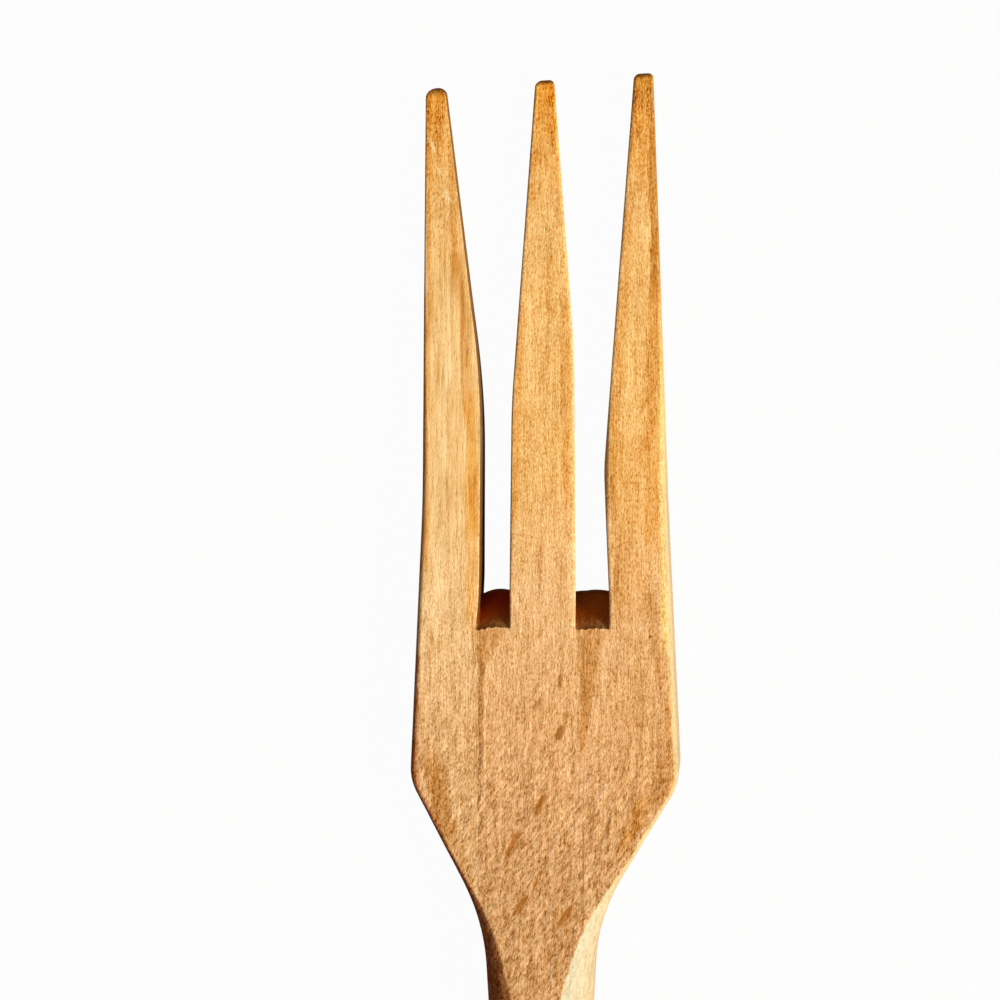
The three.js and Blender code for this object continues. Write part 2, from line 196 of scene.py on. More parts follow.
class ForkColours(bpy.types.PropertyGroup):
    """Colours of the wood, the glue and the stage."""

    neck: colour("Neck", "Wood at the neck and the handle", 210, 157, 101)
    head: colour("Head", "Wood of the lower head", 229, 173, 114)
    shoulder: colour("Shoulder", "Wood at the foot of the tines", 239, 186, 124)
    tine: colour("Tine", "Wood of the tines", 246, 190, 112)
    tip: colour("Tip", "Wood at the tips", 235, 153, 44)
    pale: colour("Pale", "Pale bands in the wood", 255, 216, 152)
    amber: colour("Amber", "Orange bands on the tines", 230, 156, 66)
    honey: colour("Honey", "Bright bands beside the left slot", 242, 170, 72)
    straw: colour("Straw", "Yellow band beside the right tine's outer edge", 250, 211, 124)
    gold: colour("Gold", "Golden bands in the wood", 192, 124, 44)
    # Paler colours on the right edge, which faces the key lamp: partly sapwood and partly painted highlight,
    # a little darker at the outside
    sap: colour("Sap", "Sapwood along the head's right edge", 210, 184, 116)
    neck_sap_and_highlight: colour("Neck sap", "Sapwood along the neck", 200, 190, 154)
    sap_and_highlight_rim: colour("Sap rim", "Sapwood at the outside of the right edge", 195, 171, 130)
    # Painted shade on the rounded left edge, which faces away from the key lamp; the tips' ends are darkened
    # a little towards it too
    heart: colour("Heart", "Heartwood along the left edge", 165, 78, 5)
    # Painted shade on the slots' walls, which lie in the tines' shadow, near their floors and further up
    painted_wall_shade: colour("Scorched", "Saw-burnt walls of the slots near their floors", 86, 46, 16)
    sawn: colour("Sawn", "Sawn walls of the slots further up", 128, 90, 54)
    # Slots' floors: end grain darkened with painted shade, lighter next to the face as painted light
    painted_lit_floor_front: colour("Floor front", "Slots' floors next to the face", 232, 122, 42)
    shaded_end_grain: colour("End grain", "Dark end grain on the left slot's floor", 236, 84, 40)
    right_shaded_end_grain: colour("Right end grain", "Dark end grain on the right slot's floor", 255, 146, 50)
    # Torn strokes' brown, darkest at their left as painted shade; also warms the left slot's painted wall
    # shade
    torn_and_shaded_brown: colour("Hollow", "Torn strokes in the face, and the left wall's burn", 180, 108, 34)
    glue: colour("Glue", "Dried glue in the joints, and one dark speck", 140, 82, 22)
    floor: colour("Floor", "Pale floor", 170, 160, 146)


class ForkStage(bpy.types.PropertyGroup):
    """Camera and light."""

    eye: FloatVectorProperty(
        name="Eye",
        description="Place of the camera",
        default=(50 * MM, 170.6 * MM, 750 * MM),
        subtype="TRANSLATION",
    )
    target: FloatVectorProperty(
        name="Target",
        description="Point that the camera looks at",
        default=(-7.344 * MM, 53.85 * MM, 10 * MM),
        subtype="TRANSLATION",
    )
    roll: angle("Roll", "Turn of the camera about its line of sight", 0.213)
    lens: FloatProperty(
        name="Lens", description="Focal length in millimetres on a 36 mm sensor", default=143.26
    )
    key_direction: FloatVectorProperty(
        name="Key direction",
        description="Towards the key lamp",
        default=(0.75, -0.30, 0.59),
        subtype="DIRECTION",
    )
    key_distance: length("Key distance", "From the head to the key lamp", 1.2)
    key_size: length("Key size", "Side of the square key lamp", 0.45)
    key_power: FloatProperty(name="Key power", description="Power of the key lamp", default=23, unit="POWER")
    fill: FloatProperty(name="Fill", description="Strength of the light from all round", default=0.13)
    fill_colour: FloatVectorProperty(
        name="Fill colour",
        description="Colour of the light from all round",
        default=(1.0, 0.9, 0.8),
        subtype="COLOR",
    )


# The fork's shape, worked out in metres

def smooth_step(value, low, high):
    """0 below low, 1 above high, and 3t^2 - 2t^3 between."""
    t = np.clip((value - low) / (high - low), 0, 1)
    return t * t * (3 - 2 * t)


def blend(start, end, share):
    """Straight line from start at share 0 to end at share 1."""
    return start + (end - start) * share


def rounded_line(corners):
    """Points of a line through corners (x, y, radius), each made an arc that touches both its sides."""
    points = [np.array(corners[0][:2])]
    for before, corner, after in zip(corners, corners[1:], corners[2:]):
        middle = np.array(corner[:2])
        back = np.array(before[:2]) - middle
        ahead = np.array(after[:2]) - middle
        back /= np.linalg.norm(back)
        ahead /= np.linalg.norm(ahead)
        half = math.acos(np.clip(back @ ahead, -1, 1)) / 2
        bisector = (back + ahead) / np.linalg.norm(back + ahead)
        centre = middle + bisector * corner[2] / math.sin(half)
        start = middle + back * corner[2] / math.tan(half) - centre
        turn = math.pi - 2 * half
        side = np.sign(back[0] * ahead[1] - back[1] * ahead[0])
        angles = math.atan2(start[1], start[0]) - side * turn * np.linspace(0, 1, ARC_STEPS)
        points.extend(centre + corner[2] * np.stack([np.cos(angles), np.sin(angles)], 1))
    points.append(np.array(corners[-1][:2]))
    return np.array(points)


def corner_drop(inside, across, down, sine=0.0):
    """Drop of an elliptical corner at a distance inside its edge.

    With u = 1 - inside / across, held above sine, the drop is down * (cos - sqrt(1 - u^2)): the arc hangs
    upright at the edge and meets the flat at the angle whose sine is given.
    """
    u = np.clip(np.maximum(1 - inside / across, sine), 0, 1)
    return down * (np.sqrt(1 - sine * sine) - np.sqrt(1 - u * u))


class Ripples:
    """A kind of tool mark: seeded sine waves of about one length that run about one way.

    wave is their length, way is the direction in which they run, from the X axis, and spread is how far they
    may turn from it.
    """

    def __init__(self, height, seed, count, wave, way=0.0, spread=0.0):
        self.height = height
        self.seed = seed
        self.count = count
        self.wave = wave
        self.way = way
        self.spread = spread

    def unit(self, x, y):
        """Sum of the waves at a place, scaled to unit strength."""
        draw = np.random.default_rng(self.seed)
        total = 0
        for _ in range(self.count):
            turn = self.way + self.spread * draw.uniform(-1, 1)
            stretch = 2 * math.pi / (self.wave * draw.uniform(0.7, 1.5))
            phase = draw.uniform(0, 2 * math.pi)
            total = total + np.sin((x * math.cos(turn) + y * math.sin(turn)) * stretch + phase)
        return total * math.sqrt(2 / self.count)

    def rise(self, x, y):
        """Height of the marks at a place."""
        return self.height * self.unit(x, y)


PLANED = Ripples(height=0.035 * MM, seed=3, count=14, wave=11 * MM, way=0.5, spread=1.4)
SCRAPED = Ripples(height=0.015 * MM, seed=7, count=48, wave=1.4 * MM, way=math.radians(-30), spread=0.9)
DENTED = Ripples(height=0.03 * MM, seed=11, count=40, wave=3.6 * MM, way=math.radians(-28), spread=0.8)
BACK_PLANED = Ripples(height=0.02 * MM, seed=17, count=12, wave=14 * MM, way=0.4, spread=1.5)
TORN_EDGE = Ripples(height=0.07 * MM, seed=23, count=8, wave=1.3 * MM)
WANDERING = Ripples(height=0.14 * MM, seed=19, count=6, wave=5 * MM, way=math.pi / 2)

# Lip along the left joint: height, half width, place beside the joint, and spans along the fork at its ends
LIP_HEIGHT = 0.07 * MM
LIP_WIDTH = 0.28 * MM
LIP_PLACE = 0.75 * MM
LIP_START = (-4 * MM, 4 * MM)
LIP_END = (22 * MM, 26 * MM)

# Torn strokes in the face: place across, place along, half length, half width, height, in millimetres,
# and lean from upright in degrees.
STROKES = (
    (4.1, 9.5, 1.8, 0.85, 0.14, 20),
    (5.2, 12.8, 1.1, 0.65, 0.06, 20),
    (4.1, 19.5, 1.5, 0.55, 0.11, 5),
    (-0.4, 18.1, 1.3, 0.4, 0.08, 20),
    (-0.3, 14.9, 1.3, 0.55, 0.09, 30),
    (0.4, -4.3, 2.7, 0.75, 0.14, 24),
    (-4.7, -11.9, 3.2, 0.8, 0.12, 23),
    (-5.9, -15.6, 0.9, 0.25, 0.10, 25),
    (-3.3, -23.8, 2.8, 0.75, 0.12, 35),
    (-0.3, -19.2, 1.2, 0.35, 0.13, 10),
    (5.1, -25.7, 3.0, 0.7, 0.14, 33),
    (13.3, -8.2, 1.6, 0.4, 0.11, 15),
    (17.8, -0.4, 1.3, 0.55, 0.06, 20),
    (-16.0, -8.4, 3.0, 0.25, 0.08, 13),
    (21.5, 25.1, 1.0, 0.6, 0.05, 10),
    (0.2, 28.4, 1.2, 0.5, 0.05, 20),
    (-2.8, 0.4, 1.6, 0.5, 0.05, 20),
    (5.1, -16.4, 2.2, 0.4, 0.06, 45),
    (16.9, 21.4, 1.6, 0.6, 0.04, 5),
    (-15.8, 9.0, 2.4, 0.4, 0.05, 12),
    (2.2, -33.6, 2.2, 0.5, 0.07, 34),
    (-1.6, -36.4, 2.0, 0.5, 0.07, 34),
    (-9.8, -20.8, 1.8, 0.5, 0.06, 30),
)
STROKE_REACH = 6  # half widths over which a stroke levels out
STROKE_HEIGHT = 0.14  # height of the strongest stroke, in millimetres


def torn_and_shaded_strokes(x, y):
    """Rise of the torn strokes at a point, and how far it lies on one.

    A stroke leans with the tool. Along it the rise falls as 1 - u^2, and across it goes as v / (1 + v^2): a
    steep flank in the middle that levels out slowly on both sides. Browner torn wood fills the ellipse
    u^2 + v^2 < 1; it is tinted darkest at its left, painted shade for the flank that faces away from the key
    lamp.
    """
    rise = np.zeros(np.broadcast(x, y).shape)
    share = np.zeros_like(rise)
    for across, along, half_length, half_width, height, lean in STROKES:
        turn = math.radians(lean)
        dx = x - across * MM
        dy = y - along * MM
        u = (dx * math.sin(turn) + dy * math.cos(turn)) / (half_length * MM)
        v = (dx * math.cos(turn) - dy * math.sin(turn)) / (half_width * MM)
        ends = np.clip(1 - u * u, 0, 1)
        level = np.clip(1 - (v / STROKE_REACH) ** 2, 0, 1) ** 2
        rise = rise + height * MM * ends * level * v / (1 + v * v)
        inside = smooth_step(1 - u * u - v * v, 0, 0.4) * np.clip(0.85 - 0.3 * v, 0, 1)
        share = np.maximum(share, inside * height / STROKE_HEIGHT)
    return rise, share


class ForkShape:
    """The fork's outside: its edges, faces and slots as functions of the place along it."""

    def __init__(self, sizes, tip_round=None):
        self.sizes = sizes
        self.tip_round = tip_round or sizes.tip_round
        self.radius = sizes.handle_diameter / 2
        left_tip = sizes.left_tip_width / 2 - sizes.left_tip
        right_tip = sizes.tip_width / 2 + sizes.right_tip
        self.left_line = self.side_line(sizes.left_neck, sizes.left_shoulder, sizes.left_side, left_tip)
        self.right_line = self.side_line(sizes.right_neck, sizes.right_shoulder, sizes.right_side, right_tip)
        self.left_joint = sum(LEFT_FILM) / 2
        self.right_joint = sum(RIGHT_FILM) / 2
        left_outer = self.left_joint - sizes.left_cut
        right_inner = self.right_joint - sizes.right_cut
        self.left_slot = (left_outer, left_outer + sizes.left_slot, sizes.left_lean)
        self.right_slot = (right_inner, right_inner + sizes.right_slot, sizes.centre_lean)
        centre = (self.left_slot[1] + self.right_slot[0]) / 2
        half_waist = sizes.centre_waist / 2
        half_tip = sizes.tip_width / 2
        left_inner_tip = sizes.left_tip + sizes.left_tip_width / 2
        left_waist = left_outer + sizes.left_swell
        self.left_inner = self.tine_line(
            left_outer, left_waist, sizes.left_taper, left_inner_tip, flare=sizes.left_flare
        )
        self.centre_left = self.tine_line(
            self.left_slot[1], centre - half_waist, sizes.centre_left_taper, sizes.centre_tip - half_tip
        )
        self.centre_right = self.tine_line(
            self.right_slot[0], centre + half_waist, sizes.centre_right_taper, sizes.centre_tip + half_tip
        )
        self.right_inner = self.tine_line(
            self.right_slot[1],
            self.right_slot[1] - sizes.right_swell,
            sizes.right_taper,
            sizes.right_tip - half_tip,
            sizes.swell_round,
        )

    def side_line(self, neck, shoulder, side, tip):
        """One side of the fork from the butt to the tips, as distances from the axis."""
        sizes = self.sizes
        return rounded_line([
            (self.radius, -sizes.handle_length, 0),
            (self.radius, -sizes.handle_start, sizes.handle_round),
            (neck, -sizes.shoulder_length, sizes.neck_round),
            (shoulder, 0, sizes.shoulder_round),
            (side, sizes.side_bend, sizes.side_round),
            (tip, sizes.head_length, 0),
        ])

    def tine_line(self, floor_x, waist_x, taper, tip_x, taper_round=None, flare=0.0):
        """One sawn edge of a tine from its slot's floor, where it may flare, to its tip."""
        sizes = self.sizes
        return rounded_line([
            (floor_x - flare, sizes.slot_floor, 0),
            (floor_x, sizes.slot_floor + sizes.flare_length, sizes.flare_round),
            (waist_x, taper, taper_round or sizes.taper_round),
            (tip_x, sizes.head_length, 0),
        ])

    def left(self, y):
        """Place across of the left side, looked up on its line."""
        return -np.interp(y, self.left_line[:, 1], self.left_line[:, 0])

    def right(self, y):
        """Place across of the right side, looked up on its line."""
        return np.interp(y, self.right_line[:, 1], self.right_line[:, 0])

    def tine(self, line, y):
        """Place across of a sawn edge, looked up where the slanted line of the tips puts it."""
        straight = np.interp(y, line[:, 1], line[:, 0])
        return np.interp(y + self.slant(straight, y), line[:, 1], line[:, 0])

    def slant(self, x, y):
        """How far the line of the tips leans at a place: evenly across, from 0 at the slots' floors up."""
        sizes = self.sizes
        share = np.clip((y - sizes.slot_floor) / (sizes.head_length - sizes.slot_floor), 0, 1)
        return math.tan(sizes.tip_slant) * x * share

    def face(self, y):
        """Height of the planed face: the handle's full height, then one slope down to the tips."""
        sizes = self.sizes
        share = np.clip((y + sizes.face_start) / (sizes.face_start + sizes.head_length), 0, 1)
        return blend(sizes.handle_diameter, sizes.tip_thickness, share)

    def end_inset(self, y):
        """How far the blunted tips and the domed butt draw in near their ends, as quarter circles."""
        sizes = self.sizes
        tip = corner_drop(sizes.head_length - y, self.tip_round, self.tip_round)
        butt = corner_drop(y + sizes.handle_length, sizes.butt_round, sizes.butt_round)
        return tip + butt

    def thickness(self, y):
        """Height left between the front and the back, less at the blunted ends."""
        return self.face(y) - 2 * self.end_inset(y)

    def back_rounding(self, y):
        """Radius of the back's edges: small on the head, growing down the neck to half the handle."""
        sizes = self.sizes
        grown = smooth_step(-y, sizes.back_round_start, sizes.back_round_end)
        return np.minimum(blend(sizes.back_edge, self.radius, grown), 0.49 * self.thickness(y))

    def left_rounding(self, y):
        """Width of the left front edge's rounding.

        It goes by a smooth step from the head's to the finer one at the tip, and widens down the neck, with
        the power 1.3 of the way, until it reaches the axis.
        """
        sizes = self.sizes
        grown = np.clip((-y - sizes.left_arris) / (sizes.arris_end - sizes.left_arris), 0, 1) ** 1.3
        worn = smooth_step(y, 0.4 * sizes.head_length, 0.8 * sizes.head_length)
        return blend(blend(sizes.left_edge, sizes.left_tip_edge, worn), -self.left(y), grown)

    def right_rounding(self, y):
        """Width of the right front edge's rounding: finest at the tip, fine on the shoulder, then wide.

        Smooth steps lead from one to the next. Down the neck it widens like the left one.
        """
        sizes = self.sizes
        grown = np.clip((-y - sizes.right_arris) / (sizes.right_arris_end - sizes.right_arris), 0, 1) ** 1.3
        worn = smooth_step(y, sizes.slot_floor, 0.8 * sizes.head_length)
        corner = smooth_step(-y, *FINE_CORNER)
        edge = blend(blend(sizes.right_edge, sizes.right_tip_edge, worn), sizes.right_corner_edge, corner)
        return blend(edge, self.right(y), grown)

    def front_edge(self, inside, y, width, half_width):
        """Drop of a rounded front edge, which meets the neck's planed face at an arris that fades out.

        It is an elliptical corner. The angle of the arris rises down the neck and falls again, and the
        ellipse is wider by 1 / (1 - sine), so that the arris lies at the rounding's width.
        """
        sizes = self.sizes
        rises = smooth_step(-y, 0.4 * sizes.right_arris, 1.6 * sizes.right_arris)
        fades = smooth_step(-y, 0.62 * sizes.arris_end, sizes.arris_end)
        sine = np.sin(sizes.arris_angle * rises * (1 - fades))
        across = np.minimum(width, half_width) / (1 - sine)
        deepest = 0.98 * self.thickness(y) - self.back_rounding(y)
        flatter = blend(1, 0.78, rises * (1 - fades))
        down = np.minimum(across * flatter, deepest / np.sqrt(1 - sine * sine))
        return corner_drop(inside, across, down, sine)

    def floor_wear(self, x, y):
        """Drop of the face at the worn front edge of a slot's floor: a small quarter round along it."""
        sizes = self.sizes
        total = 0
        for slot in (self.left_slot, self.right_slot):
            low, high = slot[:2]
            inside = np.minimum(smooth_step(x, low - sizes.floor_arris, low),
                                1 - smooth_step(x, high, high + sizes.floor_arris))
            edge = sizes.slot_floor + sizes.front_crown * self.crown(x, slot)
            drop = corner_drop(np.maximum(edge - y, 0), sizes.floor_arris, sizes.floor_arris)
            total = total + inside * drop * (1 - smooth_step(y - edge, *FLOOR_FADE))
        return total

    def crown(self, x, slot, depth=0.0):
        """Arch of a slot's floor at a depth: a parabola, 1 in the middle and 0 at its walls.

        The left wall leans, so the middle moves with the depth.
        """
        low, high, lean = slot
        middle = (low + math.tan(lean) * depth + high) / 2
        return np.clip(1 - ((x - middle) / (high - middle)) ** 2, 0, 1)

    def ragged(self, x):
        """Torn front edge of a slot's floor, as steps along the fork."""
        return TORN_EDGE.rise(x, 0)

    def waver(self, y):
        """How far the lip at the left joint wanders from its line."""
        return WANDERING.rise(0, y)

    def relief(self, x, y):
        """Tool marks in the face: long planing waves, a scraped lower head, torn strokes and a lip."""
        rough = smooth_step(-y, *ROUGH_HEAD)
        scraped = rough * (SCRAPED.rise(x, y) + DENTED.rise(x, y))
        away = x - self.left_joint - LIP_PLACE - self.waver(y)
        along = smooth_step(y, *LIP_START) * (1 - smooth_step(y, *LIP_END))
        lip = LIP_HEIGHT * np.exp(-((away / LIP_WIDTH) ** 2)) * along
        return scraped + PLANED.rise(x, y) - torn_and_shaded_strokes(x, y)[0] - lip

    def front(self, x, y, left, right):
        """Height of the front: the planed face less its rounded edges, worn floors and tool marks."""
        half_width = np.minimum(-left, right)
        left_edge = self.front_edge(x - left, y, self.left_rounding(y), half_width)
        right_edge = self.front_edge(right - x, y, self.right_rounding(y), half_width)
        on_face = 1 - smooth_step(-y, 0.7 * self.sizes.arris_end, self.sizes.arris_end)
        drop = left_edge + right_edge + self.floor_wear(x, y) + on_face * self.relief(x, y)
        return self.face(y) - self.end_inset(y) - drop

    def back(self, x, y, left, right):
        """Height of the back: flat, with rounded edges and faint planing waves."""
        rounding = self.back_rounding(y)
        across = np.minimum(rounding, np.minimum(-left, right))
        edges = corner_drop(x - left, across, rounding) + corner_drop(right - x, across, rounding)
        waves = BACK_PLANED.height * (1 + np.clip(BACK_PLANED.unit(x, y), -1, 1))
        return self.end_inset(y) + edges + waves

    def floor_climb(self, s):
        """How far a section leans along the fork for each metre of depth: like the floors, near them."""
        near = 1 - smooth_step(np.abs(s - self.sizes.slot_floor), 0, CLIMB_REACH)
        return math.tan(self.sizes.floor_slant) * near

    def feather(self, edge, plane):
        """Place along the fork where it grows wider than a joint's plane, looked up on its edge."""
        y = np.linspace(-self.sizes.handle_length, 0, 8001)
        return np.interp(plane, np.abs(edge(y)), y)


class Side:
    """One side of a stave: the joint below its slot, the sawn edge above it, and the arris of that edge.

    arris is the width and the drop of the worn front edge, lean is how far the sawn wall leans at its foot
    and near its tip, swell is how far the arris deepens where the tine is widest, and the last setting is 1
    where the walls' painted shade reaches the front edge.
    """

    def __init__(
        self, outer, joint=None, line=None, slot=None, arris=(MM, 0.0), lean=(0.0, 0.0), swell=0.0, shade_to_edge=0
    ):
        self.outer = outer
        self.joint = joint
        self.line = line
        self.slot = slot
        self.arris = arris
        self.lean = lean
        self.swell = swell
        self.shade_to_edge = shade_to_edge


def stations(shape, start, jointed=False):
    """Places of the sections along the fork, and how far each has swept across the slots' floors.

    Sections stand close on the head, closer at the ends and at the floors' front edges, where a run of
    them stays in place while the sides move from the joints to the sawn edges. A jointed film ends there.
    """
    sizes = shape.sizes
    floor = sizes.slot_floor
    quarter = np.linspace(0, math.pi / 2, 14)
    tip = sizes.head_length - shape.tip_round * (1 - np.cos(quarter[::-1]))
    butt = -sizes.handle_length + sizes.butt_round * (1 - np.cos(quarter))
    bounds = [
        (-sizes.handle_length + sizes.butt_round + 1 * MM, -sizes.back_round_end, HANDLE_STEP),
        (-sizes.back_round_end, HEAD_START, NECK_STEP),
        (HEAD_START, floor - 0.5 * MM, HEAD_STEP),
    ]
    below = [np.arange(max(low, start), high, step) for low, high, step in bounds if start < high]
    if start <= -sizes.handle_length:
        below.insert(0, butt)
    wear = floor - sizes.floor_arris * np.array([1.4, 1.0, 0.7, 0.45, 0.25, 0.1])
    count = np.arange(SWEEP_ROWS + 1)
    floor_rows = floor + FLOOR_STEP * count
    above = np.arange(floor_rows[-1] + 0.3 * MM, tip[0] - 0.2 * MM, TINE_STEP)
    lower = np.concatenate(below + [wear])
    s = np.concatenate([lower, floor_rows, above, tip])
    sweep = np.concatenate([
        np.zeros(len(lower)), np.sin(count / SWEEP_ROWS * math.pi / 2), np.ones(len(above) + len(tip))
    ])
    on_floor = np.concatenate([np.zeros(len(lower)), np.ones(len(count)), np.zeros(len(above) + len(tip))])
    kept = slice(len(lower) + 1) if jointed else slice(None)
    return s[kept], sweep[kept], on_floor[kept]


def side_place(shape, side, y, sweep, depth, outline):
    """Place across of one side of a stave, and 1 where that side was sawn or jointed.

    The side moves with the sweep from its joint to its sawn edge, which leans with the depth, and it never
    lies outside the fork's outline.
    """
    if side.joint is None:
        return outline, np.zeros_like(y)
    inset = shape.end_inset(y)
    inward = 1 if side.outer == "left" else -1
    sawn = side.joint
    if side.line is not None:
        edge = shape.tine(side.line, y) + inward * inset
        upper = smooth_step(y, 0.45 * shape.sizes.head_length, 0.7 * shape.sizes.head_length)
        lean = blend(side.lean[0], side.lean[1], upper)
        sawn = blend(side.joint, edge, sweep) + np.tan(lean) * depth * sweep
    inner = np.maximum(sawn, outline) if side.outer == "left" else np.minimum(sawn, outline)
    return inner, (np.abs(inner - outline) > 0.001 * MM).astype(float)


def stave_curve(shape, sides, rows, points, front):
    """Front or back curve of every section of a stave, as arrays of places, with the slots' crowns.

    Across a section, places run from side to side on a mix of even and cosine steps, so that a flat face
    is even and a round section has equal arcs.
    """
    sizes = shape.sizes
    s, sweep, on_floor = rows
    depth = 0 * s if front else shape.face(s)
    y = s + shape.floor_climb(s) * depth
    inset = shape.end_inset(y)
    left_outline = shape.left(y) + inset
    right_outline = shape.right(y) - inset
    left, left_cut = side_place(shape, sides[0], y, sweep, depth, left_outline)
    right, right_cut = side_place(shape, sides[1], y, sweep, depth, right_outline)
    even = np.linspace(0, 1, points)
    cosine = (1 - np.cos(even * math.pi)) / 2
    rounder = smooth_step(-y, sizes.left_arris, sizes.arris_end)[:, None]
    share = blend(even, cosine, blend(0.55, 1.0, rounder))
    x = blend(left[:, None], right[:, None], share)
    column = y[:, None]
    height = (shape.front if front else shape.back)(x, column, left_outline[:, None], right_outline[:, None])
    down = -1 if front else 1
    crown = sizes.front_crown if front else sizes.back_crown
    moved = np.repeat(column, points, 1)
    ends = ((sides[0], left, left_cut, share), (sides[1], right, right_cut, 1 - share))
    for side, place, cut, away in ends:
        if side.slot is None:
            continue
        arris = (cut * smooth_step(sweep, 0.96, 1))[:, None] * (1 - on_floor[:, None])
        across, drop = side.arris
        swollen = side.swell * np.exp(-((y - sizes.right_taper) / SWELL_LENGTH) ** 2)[:, None]
        wear = corner_drop(np.abs(x - place[:, None]), across * (1 + 0.25 * swollen), drop * (1 + swollen))
        height = height + down * arris * wear
        arch = on_floor * crown * shape.crown(place, side.slot, depth)
        moved = moved + arch[:, None] * np.clip(1 - away / 0.03, 0, 1) ** 2
    return np.stack([x, moved, height], 2)


def wall_rows(start, end):
    """Straight wall between the ends of two curves, without those ends."""
    share = np.linspace(0, 1, WALL_POINTS + 2)[1:-1]
    return blend(start[:, None, :], end[:, None, :], share[None, :, None])


def stave_rings(shape, sides, start, points):
    """Closed rings of a stave: front, right wall, back and left wall, leaned to the tips' slant.

    Their marks are 1 on the sawn walls, on the slots' floors and on the ends of the tines.
    """
    front_points, back_points = points
    jointed = sides[0].joint is not None and sides[0].line is None
    rows = stations(shape, start, jointed)
    front = stave_curve(shape, sides, rows, front_points, True)
    back = stave_curve(shape, sides, rows, back_points, False)
    right = wall_rows(front[:, -1], back[:, -1])
    left = wall_rows(back[:, 0], front[:, 0])
    s, sweep, on_floor = rows
    for side, end in zip(sides, (0, -1)):
        if side.line is not None:
            corner = front[:, [end], 0]
            near = np.clip(1 - np.abs(front[:, :, 0] - corner) / RAGGED_REACH, 0, 1) ** 2
            front[:, :, 1] += on_floor[:, None] * shape.ragged(corner) * near
    rings = np.concatenate([front, right, back[:, ::-1], left], 1)
    sawn = np.zeros(rings.shape[:2])
    floor = np.zeros(rings.shape[:2])
    left_wall = front_points + WALL_POINTS + back_points
    for side, first in ((sides[1], front_points), (sides[0], left_wall)):
        if side.line is not None:
            end = first + WALL_POINTS
            # The marked walls take the slots' painted shade
            sawn[:, first - side.shade_to_edge:end] = np.maximum(sweep, on_floor)[:, None]
            floor[:, first:end] = on_floor[:, None]
    tips = shape.sizes.head_length
    ends = np.repeat(smooth_step(s, tips - TIP_BAND, tips)[:, None], rings.shape[1], 1)
    rings[:, :, 1] += shape.slant(rings[:, :, 0], rings[:, :, 1])
    if jointed:
        floor[-1] = 1
    return rings, {"sawn": sawn, "floor": floor, "tip": ends}


def add_piece(name, rings, values):
    """Closed mesh through rings: quads between neighbours, and a fan to the middle of each end ring."""
    rows, count = rings.shape[:2]
    poles = rings[[0, -1]].mean(1)
    points = np.concatenate([rings.reshape(-1, 3), poles])
    row = np.arange(rows - 1)[:, None] * count
    here = np.arange(count)[None, :]
    beside = (here + 1) % count
    quads = np.stack([row + here, row + beside, row + count + beside, row + count + here], 2).reshape(-1, 4)
    last = (rows - 1) * count
    first_pole = np.full(count, rows * count)
    start_fan = np.stack([first_pole, beside[0], here[0]], 1)
    end_fan = np.stack([first_pole + 1, last + here[0], last + beside[0]], 1)
    mesh = bpy.data.meshes.new(name)
    mesh.from_pydata(points.tolist(), [], quads.tolist() + start_fan.tolist() + end_fan.tolist())
    for label, value in values.items():
        layer = mesh.attributes.new(label, "FLOAT", "POINT")
        flat = np.concatenate([value.reshape(-1), value[[0, -1]].mean(1)])
        layer.data.foreach_set("value", flat.astype(np.float32))
    mesh.shade_smooth()
    mesh.set_sharp_from_angle(angle=math.radians(50))
    piece = bpy.data.objects.new(name, mesh)
    bpy.context.scene.collection.objects.link(piece)
    return piece


# Marks on the surface: depths below the planed face, places along the fork and widths
SKIN_DEPTH = (7.5 * MM, 12.5 * MM)  # where the outer edges' colours end
TORN_DEPTH = (2 * MM, 4 * MM)  # where the torn strokes end
# Painted shade along the left edge, which faces away from the key lamp
LEFT_SHADE_PLACE = 2 * MM  # where the dark left edge is widest
LEFT_SHADE_LENGTH = 11 * MM
LEFT_SHADE_FADE = (12 * MM, 40 * MM)  # where it grows fainter up the head
LEFT_OPENS = (-15 * MM, -4 * MM)  # where the left joint begins to stand open
LEFT_CLOSES = (17 * MM, 25 * MM)
RIGHT_CLOSES = (-10 * MM, -6 * MM)  # where the right joint stops standing open
RIGHT_OPENS = (-26 * MM, -20 * MM)
LEFT_SEAM_WIDTH = (0.1 * MM, 0.45 * MM)
RIGHT_SEAM_WIDTH = (0.1 * MM, 0.3 * MM)


def edge_marks(shape, x, y, depth):
    """Marks of the outer edges, from the distance to an edge in widths of its rounding.

    On the rounded right edge, which faces the key lamp, the first mark is 1 where the colour is paler:
    partly sapwood and partly painted highlight. rim grows to 1 at its outside. A mark of painted shade grows
    on the rounded left edge, which faces away from the lamp: soft on the head, crisp on the neck, and
    fainter up the head and next to the neck's planed face.
    """
    sizes = shape.sizes
    skin = 1 - smooth_step(depth, *SKIN_DEPTH)
    crisp = smooth_step(-y, 0, sizes.shoulder_length)
    from_right = (shape.right(y) - x) / shape.right_rounding(y)
    sap = 1 - smooth_step(from_right, blend(0.1, 0.9, crisp), blend(1.2, 1.05, crisp))
    from_left = (x - shape.left(y)) / shape.left_rounding(y)
    corner = np.exp(-(((y - LEFT_SHADE_PLACE) / LEFT_SHADE_LENGTH) ** 2))
    full = blend(0.5 * corner, 0.95, crisp)
    gone = blend(1.5 + 0.5 * corner, 1.05, crisp)
    inner = 1 - 0.35 * crisp * smooth_step(from_left, 0.4, 0.95)
    fades = 1 - smooth_step(-y, 0.7 * sizes.arris_end, 1.2 * sizes.arris_end)
    up_head = 1 - 0.7 * smooth_step(y, *LEFT_SHADE_FADE)
    heart = (1 - smooth_step(from_left, full, gone)) * inner * fades * up_head * (0.4 + 0.6 * skin)
    return {"sap": sap * skin, "rim": 1 - np.clip(from_right, 0, 1), "heart": heart}


